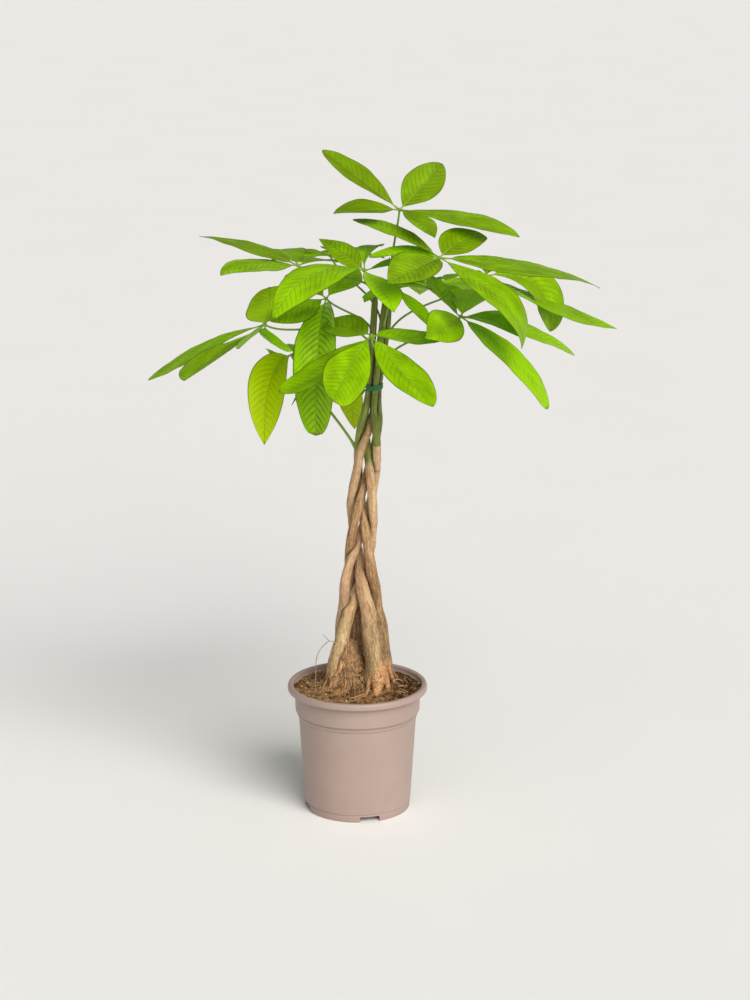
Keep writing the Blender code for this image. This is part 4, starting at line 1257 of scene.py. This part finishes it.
def soil(mats):
    b = Build()
    R = RIM_RADIUS - 7.5
    nr, na = 84, 220
    rr = R * (np.linspace(0, 1, nr + 1)[1:]) ** 0.9
    aa = np.arange(na) * 2 * math.pi / na
    X = rr[:, None] * np.cos(aa)
    Y = rr[:, None] * np.sin(aa)
    Z = soil_height(X, Y)
    B = np.zeros_like(Z)
    for i in range(nr):
        fade = float(np.interp(rr[i], [R - 6, R - 1], [1.0, 0.3]))
        for j in range(na):
            p = Vector((X[i, j], Y[i, j], 0.0))
            h = 2.3 * noise.fractal(p * 0.085, 0.9, 2.1, 3) \
                + 1.5 * noise.fractal(p * 0.33 + Vector((9, 3, 1)), 0.8, 2.1,
                                      3) \
                + 0.7 * noise.noise(p * 1.1 + Vector((2, 7, 4)))
            B[i, j] = h * fade
    Z = np.where(rr[:, None] > R - 4, np.maximum(Z + B, SOIL_Z + 0.9), Z + B)
    verts = np.stack([X, Y, Z], -1).reshape(-1, 3)
    c2 = np.stack([B, damp(X, Y), B * 0], -1).reshape(-1, 3)
    # sides and underside of the root ball
    lower = [(BAND_RADIUS - WALL - 0.6, SOIL_Z - 3.0),
             (BAND_RADIUS - WALL - 0.6, STEP_Z + 2.4),
             (WALL_TOP_RADIUS - WALL - 0.4, STEP_Z - 2.6),
             (WALL_FOOT_RADIUS - WALL - 0.9, FLOOR_Z + 2.4)]
    skirt = np.concatenate([np.stack([r * np.cos(aa), r * np.sin(aa),
                                      np.full(na, z)], -1)
                            for r, z in lower])
    verts = np.concatenate([verts, skirt, [[0, 0, float(Z[0].mean())]],
                            [[0, 0, FLOOR_Z + 2.4]]])
    c2 = np.concatenate([c2, np.zeros((len(skirt) + 2, 3))])
    rows = nr + 4
    quads = ring_faces(rows, na)[:, ::-1]
    top_c, low_c = rows * na, rows * na + 1
    tris = [(top_c, j, (j + 1) % na) for j in range(na)] \
        + [(low_c, (rows - 1) * na + (j + 1) % na, (rows - 1) * na + j)
           for j in range(na)]
    b.add(verts, [quads, tris], 0, c1=verts, c2=c2)
    rnd = random.Random(4)

    def at(x, y):
        p = Vector((x, y, 0.0))
        h = 2.3 * noise.fractal(p * 0.085, 0.9, 2.1, 3) \
            + 1.5 * noise.fractal(p * 0.33 + Vector((9, 3, 1)), 0.8, 2.1, 3) \
            + 0.7 * noise.noise(p * 1.1 + Vector((2, 7, 4)))
        return float(soil_height(np.float64(x), np.float64(y))) + h

    phi = (1 + 5 ** 0.5) / 2
    ico = np.array([(-1, phi, 0), (1, phi, 0), (-1, -phi, 0), (1, -phi, 0),
                    (0, -1, phi), (0, 1, phi), (0, -1, -phi), (0, 1, -phi),
                    (phi, 0, -1), (phi, 0, 1), (-phi, 0, -1), (-phi, 0, 1)])
    ico = ico / np.linalg.norm(ico[0])
    icof = [(0, 11, 5), (0, 5, 1), (0, 1, 7), (0, 7, 10), (0, 10, 11),
            (1, 5, 9), (5, 11, 4), (11, 10, 2), (10, 7, 6), (7, 1, 8),
            (3, 9, 4), (3, 4, 2), (3, 2, 6), (3, 6, 8), (3, 8, 9),
            (4, 9, 5), (2, 4, 11), (6, 2, 10), (8, 6, 7), (9, 8, 1)]
    for i in range(1500):                     # crumbs of coir and peat
        r = (R - 2.2) * math.sqrt(rnd.random())
        a = rnd.uniform(0, 2 * math.pi)
        x, y = r * math.cos(a), r * math.sin(a)
        size = 0.45 + 1.5 * rnd.random() ** 2.6
        sc = np.array([size * rnd.uniform(0.8, 1.9),
                       size * rnd.uniform(0.6, 1.0),
                       size * rnd.uniform(0.4, 0.9)])
        v = ico * sc * np.array([[rnd.uniform(0.75, 1.2)] for _ in range(12)])
        ya, pa = rnd.uniform(0, 6.28), rnd.uniform(-0.6, 0.6)
        ca, sa, cp, sp = math.cos(ya), math.sin(ya), math.cos(pa), math.sin(pa)
        rot = np.array([[ca * cp, -sa, ca * sp], [sa * cp, ca, sa * sp],
                        [-sp, 0, cp]])
        c = np.array([x, y, at(x, y) + sc[2] * 0.35])
        v = v @ rot.T + c
        dark = noise.fractal(Vector((x, y, 5.0)) * 0.085, 0.8, 2.0, 3)
        b.add(v, [icof], 1, c1=v,
              c2=(rnd.random() ** 1.7 * 0.95 + 0.3 * dark
                  - 0.22 * damp(x, y), rnd.random(), 0))
    for i in range(480):                      # loose fibres
        r = (R - 5.0) * math.sqrt(rnd.random())
        a = rnd.uniform(0, 2 * math.pi)
        x, y = r * math.cos(a), r * math.sin(a)
        h = rnd.uniform(0, 6.28)
        n, L = 9, rnd.uniform(4, 17)
        turn = rnd.uniform(-0.28, 0.28)
        pts, hop = [], rnd.uniform(0.2, 1.6)
        for k in range(n):
            if math.hypot(x, y) > R - 1.2:
                break
            pts.append((x, y, at(x, y) + 0.15
                        + hop * math.sin(math.pi * k / (n - 1))))
            x += math.cos(h) * L / n
            y += math.sin(h) * L / n
            h += turn + rnd.uniform(-0.2, 0.2)
        if len(pts) < 4:
            continue
        th = rnd.uniform(0.13, 0.30)
        add_tube(b, pts, np.interp(np.linspace(0, 1, len(pts)), [0, .5, 1],
                                   [th * .6, th, th * .4]), 5, 1,
                 c2=(rnd.uniform(0.35, 1.15) - 0.35 * damp(x, y), rnd.random(),
                     0), rounded=False)
    return b.object("potting_soil", mats, "soil", "soil"), at


def surface_roots(at, mats):
    """Roots that run from the trunks' feet over and into the soil."""
    b = Build()
    rnd = random.Random(21)

    def root(points, r0, r1, pale=0.0, sides=9, wig=0.6, grey=0.0,
             knots=1.0, girths=None):
        p = [np.array(q, float) for q in points]
        c = []
        n = (10 if len(p) < 5 else 6) * (len(p) - 1)
        for k in range(n + 1):             # smooth curve through the points
            s = k / n * (len(p) - 1)
            i = min(int(s), len(p) - 2)
            f = s - i
            a = p[max(i - 1, 0)]
            d = p[min(i + 2, len(p) - 1)]
            q = 0.5 * (2 * p[i] + (p[i + 1] - a) * f
                       + (2 * a - 5 * p[i] + 4 * p[i + 1] - d) * f * f
                       + (3 * p[i] - a - 3 * p[i + 1] + d) * f ** 3)
            v = Vector(q.tolist()) * 0.13
            q = q + wig * np.array([noise.noise(v), noise.noise(
                v + Vector((7, 1, 3))), noise.noise(v + Vector((2, 9, 5)))])
            c.append(q)
        t = np.linspace(0, 1, len(c))
        r = r0 + (r1 - r0) * t ** 0.8
        if girths:
            r = np.interp(t, np.linspace(0, 1, len(girths)), girths)
        r = r * (1 + knots * (0.10 * np.sin(t * 23 + r0 * 9)
                              + 0.06 * np.sin(t * 51)))
        add_tube(b, c, r, sides, 0, c2=(rnd.random(), pale, grey))

    # the matted collar of roots at the left, its ribs running down
    def mat_point(a, z, out=0.0):
        sx = np.interp(z, [140, 150, 186, 200, 208, 214],
                       [17.0, 16.5, 15.0, 11.5, 8.0, 4.0])
        sy = np.interp(z, [140, 150, 186, 200, 208, 214],
                       [30.0, 28.5, 26.5, 23.0, 17.5, 5.0])
        q = Vector((math.cos(a) * 2.2, math.sin(a) * 2.2, z * 0.028))
        d = 2.6 * noise.fractal(q, 0.8, 2.1, 4)
        q = Vector((math.cos(a) * 7.0, math.sin(a) * 7.0, z * 0.06))
        d += 1.7 * noise.fractal(q, 0.7, 2.2, 3) + out
        return np.array([-11.5 + (sx + d) * math.cos(a),
                         -2.0 + (sy + d) * math.sin(a), z])

    na, nz = 150, 66
    zz = np.linspace(141.0, 213.5, nz)
    aa = np.arange(na) * 2 * math.pi / na
    v = np.array([[mat_point(a, z) for a in aa] for z in zz]).reshape(-1, 3)
    quads = ring_faces(nz, na)
    caps = [list(range(na))[::-1], [(nz - 1) * na + i for i in range(na)]]
    b.add(v, [quads, caps], 0, c1=v * np.array([1.0, 1.0, 0.35]),
          c2=(0.3, 0.14, 0.0))
    for i in range(150):
        a = rnd.uniform(math.radians(168), math.radians(372))
        z = rnd.uniform(160, 211)
        th = rnd.choice((0.3, 0.35, 0.45, 0.6, 0.9))
        pts = []
        drift = rnd.uniform(-0.035, 0.035)
        fall = rnd.uniform(1.5, 5.5)
        for k in range(9):
            pts.append(mat_point(a, z, th * 0.25 + 0.15))
            a += drift + rnd.uniform(-0.06, 0.06)
            z -= fall
            if z < 152.0:
                break
        if z < 152.0 and rnd.random() < 0.75:   # runs on into the soil
            h = math.atan2(math.sin(a), math.cos(a)) + rnd.uniform(-.5, .5)
            x, y = pts[-1][0], pts[-1][1]
            for k in range(rnd.randrange(2, 5)):
                x += 4.5 * math.cos(h)
                y += 4.5 * math.sin(h)
                if math.hypot(x, y) > 70:
                    break
                pts.append(np.array([x, y, at(x, y) + 0.3]))
                h += rnd.uniform(-0.5, 0.5)
        if len(pts) > 2:
            root(pts, th, th * 0.55, rnd.choice((0.0, 0.2, 0.5, 0.9)), 6,
                 2.4, rnd.choice((0.0, 0.0, 0.2, 0.45)))
    # rubbed orange ridge down the front of it
    root([(-16, -25.0, 194), (-20, -25.5, 185), (-26, -24.5, 175),
          (-31, -23, 166), (-36, -24, 155)], 2.3, 1.5, 0.85, 12, 1.2, 0.0, 1.0,
         (0.7, 2.2, 2.4, 2.0, 1.0))
    root([(-28, -18, 192), (-32, -18, 180), (-37, -16, 166), (-44, -18, 153)],
         2.0, 1.3, 0.25, 12)
    # rubbed orange collar and tap root in front of the right trunk
    root([(24, -13, 200), (25, -18, 186), (25.5, -22, 174),
          (24.5, -27, 163), (23, -33.5, 155), (21.5, -40, 149)],
         8.6, 3.0, 0.95, 26, 0.35, 0.0, 0.8,
         (1.0, 7.0, 9.6, 9.2, 6.8, 3.4, 1.6))
    root([(33, -14, 184), (35, -18, 172), (36.5, -22, 161), (37, -26, 152)],
         4.6, 2.4, 0.7, 16, 0.5, 0.0, 0.8, (0.8, 3.6, 3.4, 1.8))
    root([(15, -18, 182), (14, -25, 170), (12, -31, 160), (10, -36, 152)],
         2.6, 1.4, 0.3, 12, 1.4, 0.0, 1.0, (0.6, 2.6, 2.4, 1.2))
    # feet of the other trunks
    root([(37, 4, 182), (41, -2, 168), (45, -8, 155)], 4.2, 2.0, 0.45, 14,
         1.4)
    root([(38, 16, 172), (44, 24, 161), (50, 32, 150)], 3.2, 1.4, 0.3, 10)
    root([(-4, 34, 172), (-6, 44, 160), (-10, 54, 149)], 3.6, 1.5, 0.3, 10)
    root([(-30, 22, 176), (-38, 28, 163), (-46, 33, 150)], 3.4, 1.5, 0.2, 10)
    # pale lateral roots lying on the soil at the right
    root([(38, 12, 158), (44, 15, 155.2), (51, 16.5, 155.2), (58, 14, 152)],
         1.2, 0.7, 0.7, 8, 1.0, 0.25)
    root([(33, -14, 158), (40, -11.5, 155.6), (50, -8, 155.6), (61, -2.5, 154)],
         1.25, 0.8, 0.6, 8, 1.0, 0.35)
    root([(36, -24, 156), (46, -26, 154.8), (55, -22, 153)], 0.8, 0.5, 0.6, 8,
         1.2, 0.2)
    root([(12, -36, 155), (2, -41, 154.6), (-8, -46, 154), (-18, -50, 153)],
         0.9, 0.5, 0.8, 8, 1.0, 0.2)
    root([(-3, -22, 176), (-4, -28, 166), (-6, -31, 158), (-4, -36, 153)],
         1.1, 0.6, 0.35, 8, 1.0, 0.35)
    root([(-8, -26, 176), (-2, -27, 177), (5, -25, 173), (8, -26, 165)],
         0.9, 0.5, 0.5, 8, 1.0, 0.3)
    for i in range(70):                        # fine roots over the soil
        r = rnd.uniform(20, 64)
        a = rnd.uniform(0, 2 * math.pi)
        x, y = r * math.cos(a), r * math.sin(a)
        h = a + rnd.uniform(-1.1, 1.1)
        pts = []
        for k in range(rnd.randrange(4, 8)):
            if math.hypot(x, y) > 70:
                break
            pts.append((x, y, at(x, y) + 0.35))
            x += 4.0 * math.cos(h)
            y += 4.0 * math.sin(h)
            h += rnd.uniform(-0.55, 0.55)
        if len(pts) > 2:
            th = rnd.uniform(0.28, 0.6)
            root(pts, th, th * 0.5, rnd.uniform(0.2, 0.9), 6, 0.8,
                 rnd.choice((0.0, 0.3)))
    # a wiry root that stands clear in an arc at the left, and its branch
    root([(-22, -15, 211), (-28, -15, 214), (-34, -15, 215.5),
          (-42, -15, 209), (-47.5, -15, 199.5), (-50, -15, 189.5),
          (-50.5, -14, 176), (-51, -12, 155)], 0.62, 0.45, 0.2, 7, 0.3, 0.85)
    root([(-34, -15, 216), (-38, -15, 220), (-42, -15, 224.5)], 0.45, 0.28,
         0.2, 7, 0.2, 0.85)
    return b.object("collar_roots", mats, None, "bark")


# --------------------------------------------------------------------- pot
def rounded(profile, radii, n=4):
    """Round off a closed profile's corners."""
    out = []
    m = len(profile)
    for i, (r, z) in enumerate(profile):
        p = np.array([r, z], float)
        rad = radii.get(i, 0.5)
        a = np.array(profile[i - 1], float)
        c = np.array(profile[(i + 1) % m], float)
        if r == 0 or rad == 0:
            out.append((float(p[0]), float(p[1])))
            continue
        la, lc = np.linalg.norm(a - p), np.linalg.norm(c - p)
        d = min(rad, la * 0.45, lc * 0.45)
        s, e = p + (a - p) / la * d, p + (c - p) / lc * d
        for k in range(n + 1):
            f = k / n
            q = s * (1 - f) ** 2 + p * 2 * f * (1 - f) + e * f * f
            out.append((float(q[0]), float(q[1])))
    return out


def pot(mats):
    top_in = RIM_RADIUS - 6.5
    collar_in = BAND_RADIUS - WALL
    wall_in = WALL_TOP_RADIUS - WALL
    floor_in = WALL_FOOT_RADIUS - WALL - 0.5
    H, F, S = POT_HEIGHT, FLOOR_Z, STEP_Z + 6.8
    profile = [
        (0, F), (FOOT_INNER, F), (FOOT_INNER, 0), (FOOT_RADIUS, 0),
        (FOOT_RADIUS + 0.3, F), (FOOT_RADIUS - 0.5, F + 0.7),
        (WALL_FOOT_RADIUS, F + 1.6),
        (WALL_TOP_RADIUS + 0.25, S - 2.4), (WALL_TOP_RADIUS + 0.2, S - 1.2),
        (BAND_RADIUS - 1.4, S - 0.5),
        (BAND_RADIUS - 0.1, S + 1.0),
        (BAND_RADIUS + 0.6, H - RIM_DEPTH - 0.7),
        (RIM_RADIUS - 1.6, H - RIM_DEPTH - 0.5),
        (RIM_RADIUS - 0.3, H - RIM_DEPTH + 0.2),
        (RIM_RADIUS + 0.05, H - RIM_DEPTH + 1.6),
        (RIM_RADIUS + 0.1, H - 2.6), (RIM_RADIUS - 1.4, H),
        (top_in + 1.2, H), (top_in, H - 1.2), (top_in - 0.5, H - 5.0),
        (collar_in + 0.7, H - 9.6), (collar_in, STEP_Z + 2.0),
        (wall_in, STEP_Z - 2.6), (floor_in, F + 2.0), (0, F + 2.0)]
    radii = {1: .6, 2: .6, 3: .9, 4: .5, 5: .4, 6: .8, 7: .4, 8: .3, 9: .5,
             10: 1.2, 11: .8, 12: 0.4, 13: .5, 14: 1.0, 15: 1.8, 16: 1.6,
             17: 1.2, 18: 1.2, 19: 1.5, 20: 2.0, 21: 3.0, 22: 3.0, 23: 3.0}
    verts, quads, tris = turned(rounded(profile, radii), 200)
    mesh = bpy.data.meshes.new("nursery_pot")
    mesh.from_pydata((np.array(verts) * MM).tolist(), [], quads + tris)
    bm = bmesh.new()
    bm.from_mesh(mesh)
    bmesh.ops.recalc_face_normals(bm, faces=bm.faces)
    bm.to_mesh(mesh)
    bm.free()
    ob = bpy.data.objects.new("nursery_pot", mesh)
    bpy.context.scene.collection.objects.link(ob)
    cutters = []
    for k in range(4):
        a = math.radians(NOTCH_ANGLE + 90.0 * k - 90.0)
        ux, uy = math.cos(a), math.sin(a)
        w, h, c = NOTCH_WIDTH / 2, NOTCH_HEIGHT, 1.2
        section = [(-w, -2), (w, -2), (w, h - c), (w - c * .3, h - c * .3),
                   (w - c, h), (-w + c, h), (-w + c * .3, h - c * .3),
                   (-w, h - c)]
        vs = []
        for r in (FOOT_INNER - 6, FOOT_RADIUS + 6):
            vs += [((ux * r - uy * s) * MM, (uy * r + ux * s) * MM, z * MM)
                   for s, z in section]
        m = len(section)
        fs = [tuple(range(m))[::-1], tuple(range(m, 2 * m))]
        fs += [(i, (i + 1) % m, m + (i + 1) % m, m + i) for i in range(m)]
        cutters.append((vs, fs))
        cx, cy = DRAIN_PITCH * ux, DRAIN_PITCH * uy
        vs, fs = [], []
        for z in (FLOOR_Z - 3, FLOOR_Z + 5):
            vs += [((cx + DRAIN_RADIUS * math.cos(i * math.pi / 14)) * MM,
                    (cy + DRAIN_RADIUS * math.sin(i * math.pi / 14)) * MM,
                    z * MM) for i in range(28)]
        fs = [tuple(range(28))[::-1], tuple(range(28, 56))]
        fs += [(i, (i + 1) % 28, 28 + (i + 1) % 28, 28 + i)
               for i in range(28)]
        cutters.append((vs, fs))
    for vs, fs in cutters:
        cm = bpy.data.meshes.new("cut")
        cm.from_pydata(vs, [], fs)
        bm = bmesh.new()
        bm.from_mesh(cm)
        bmesh.ops.recalc_face_normals(bm, faces=bm.faces)
        bm.to_mesh(cm)
        bm.free()
        co = bpy.data.objects.new("cut", cm)
        bpy.context.scene.collection.objects.link(co)
        mod = ob.modifiers.new("cut", "BOOLEAN")
        mod.operation = "DIFFERENCE"
        mod.object = co
        bpy.context.view_layer.update()
        deps = bpy.context.evaluated_depsgraph_get()
        new = bpy.data.meshes.new_from_object(ob.evaluated_get(deps))
        ob.modifiers.clear()
        ob.data = new
        bpy.data.objects.remove(co, do_unlink=True)
    mesh = ob.data
    mesh.name = "nursery_pot"
    mesh.materials.clear()
    for m in mats:
        mesh.materials.append(m)
    co = np.empty(len(mesh.vertices) * 3)
    mesh.vertices.foreach_get("co", co)
    co = co.reshape(-1, 3) + np.array([POT_AXIS[0], POT_AXIS[1], 0]) * MM
    mesh.vertices.foreach_set("co", co.ravel())
    mesh.shade_smooth()
    mesh.set_sharp_from_angle(angle=math.radians(50))
    mesh.update()
    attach(ob, "root")
    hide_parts("pot")
    return ob


# --------------------------------------------------------------------- tie
def tie(mats):
    b = Build()
    cx = averaged(TIE_Z, LEAN_Z, LEAN_X, 40.0)
    rho = 0.86 * cad_radius(TIE_Z) / math.sin(math.radians(36))
    r = girth(TIE_Z)

    def at(a, z, out):
        d = min(abs((math.degrees(a) - k * 72 + 180) % 360 - 180)
                for k in range(5))
        rr = rho * math.cos(math.radians(d)) + r + out
        return (cx + rr * math.cos(a), rr * math.sin(a), z)
    turns = 2.6
    n = 150
    a0 = math.radians(-130)
    pts = []
    for k in range(n + 1):
        f = k / n
        a = a0 + f * turns * 2 * math.pi
        z = TIE_Z - 2.6 + 5.2 * f + 0.5 * math.sin(a * 2 + 1)
        pts.append(at(a, z, 0.55 + 0.25 * math.sin(3 * a)))
    add_tube(b, pts, 1.25, 8, 0, ref=(0, 0, 1), squash=0.5)
    e = np.array(pts[-1])
    s = np.array(pts[0])
    a = a0 + turns * 2 * math.pi
    tang = np.array([-math.sin(a), math.cos(a), 0])
    out = np.array([math.cos(a), math.sin(a), 0])
    p = bezier(e, e + tang * 3 + out * 1.0, e + tang * 5 + out * 3
               + np.array([0, 0, 3]), e + tang * 6 + out * 4
               + np.array([0, 0, 7]), 14)
    add_tube(b, p, np.linspace(1.2, 0.8, 15), 8, 0, ref=(0, 0, 1), squash=0.5)
    tang = -np.array([-math.sin(a0), math.cos(a0), 0])
    out = np.array([math.cos(a0), math.sin(a0), 0])
    p = bezier(s, s + tang * 3 + out * 1.2, s + tang * 5 + out * 3
               - np.array([0, 0, 3]), s + tang * 5.5 + out * 4
               - np.array([0, 0, 6]), 14)
    add_tube(b, p, np.linspace(1.2, 0.8, 15), 8, 0, ref=(0, 0, 1), squash=0.5)
    return b.object("green_tie", mats, "tie", "tie")


# ------------------------------------------------------- camera and lights
def camera():
    cam = bpy.data.cameras.new("camera")
    cam.lens = 93.3
    cam.sensor_width = 36.0
    cam.clip_end = 100.0
    ob = bpy.data.objects.new("camera", cam)
    ob.location = (-0.0126, -3.0160, 1.189)
    ob.rotation_euler = (math.radians(75.054), 0.0, 0.0)
    bpy.context.scene.collection.objects.link(ob)
    bpy.context.scene.camera = ob


def lamp(name, place, target, size, power, colour=(1, 1, 1)):
    data = bpy.data.lights.new(name, "AREA")
    data.shape = "RECTANGLE"
    data.size, data.size_y = size
    data.energy = power
    data.color = colour
    ob = bpy.data.objects.new(name, data)
    ob.location = place
    d = Vector(target) - Vector(place)
    ob.rotation_euler = d.to_track_quat("-Z", "Y").to_euler()
    bpy.context.scene.collection.objects.link(ob)


def sun(name, place, strength, angle, colour=(1, 1, 1)):
    """Far soft light from place towards the origin."""
    data = bpy.data.lights.new(name, "SUN")
    data.energy = strength
    data.angle = math.radians(angle)
    data.color = colour
    ob = bpy.data.objects.new(name, data)
    ob.location = place
    ob.rotation_euler = (-Vector(place)).to_track_quat("-Z", "Y").to_euler()
    bpy.context.scene.collection.objects.link(ob)


def studio():
    """A wide pale round floor that sweeps up, far off, into a low wall."""
    mesh = bpy.data.meshes.new("studio_floor")
    flat, r, sides = 36.0, 5.0, 96
    path = [(0.6, 0.0), (3.0, 0.0), (12.0, 0.0), (flat, 0.0)]
    path += [(flat + r * math.sin(a), r - r * math.cos(a))
             for a in (math.radians(7.5 * k) for k in range(1, 12))]
    verts = [(0.0, 0.0, 0.0)]
    for d, z in path:
        verts += [(d * math.cos(6.283185307 * k / sides),
                   d * math.sin(6.283185307 * k / sides), z)
                  for k in range(sides)]
    faces = [(0, 1 + k, 1 + (k + 1) % sides) for k in range(sides)]
    for i in range(len(path) - 1):
        a, b = 1 + i * sides, 1 + (i + 1) * sides
        faces += [(a + k, b + k, b + (k + 1) % sides, a + (k + 1) % sides)
                  for k in range(sides)]
    mesh.from_pydata(verts, [], faces)
    mesh.materials.append(floor_material())
    mesh.shade_smooth()
    ob = bpy.data.objects.new("studio_floor", mesh)
    bpy.context.scene.collection.objects.link(ob)
    world = bpy.data.worlds.new("studio")
    world.use_nodes = True
    bg = world.node_tree.nodes["Background"]
    bg.inputs[0].default_value = (0.98, 0.985, 1.0, 1.0)
    bg.inputs[1].default_value = 0.24
    bpy.context.scene.world = world
    sun("key", (1.2, -2.15, 1.7), 3.05, 44, (1.0, 0.985, 0.96))
    sun("front_fill", (0.45, -2.2, 1.5), 0.85, 90, (0.985, 0.99, 1.0))
    sc = bpy.context.scene
    sc.view_settings.view_transform = "Standard"
    sc.view_settings.look = "None"
    sc.view_settings.exposure = 0.0
    sc.view_settings.gamma = 1.0


def main():
    camera()
    studio()
    leaf, stalk = leaf_material(), stalk_material()
    bark = bark_material()
    pot([pot_material()])
    _, at = soil([soil_material(), crumb_material()])
    surface_roots(at, [root_material()])
    for key in STEMS:
        trunk(key, [bark])
    tie([tie_material()])
    for name, spec in LEAVES.items():
        add_leaf(name, spec, [leaf, stalk])


main()
bpy.context.view_layer.update()
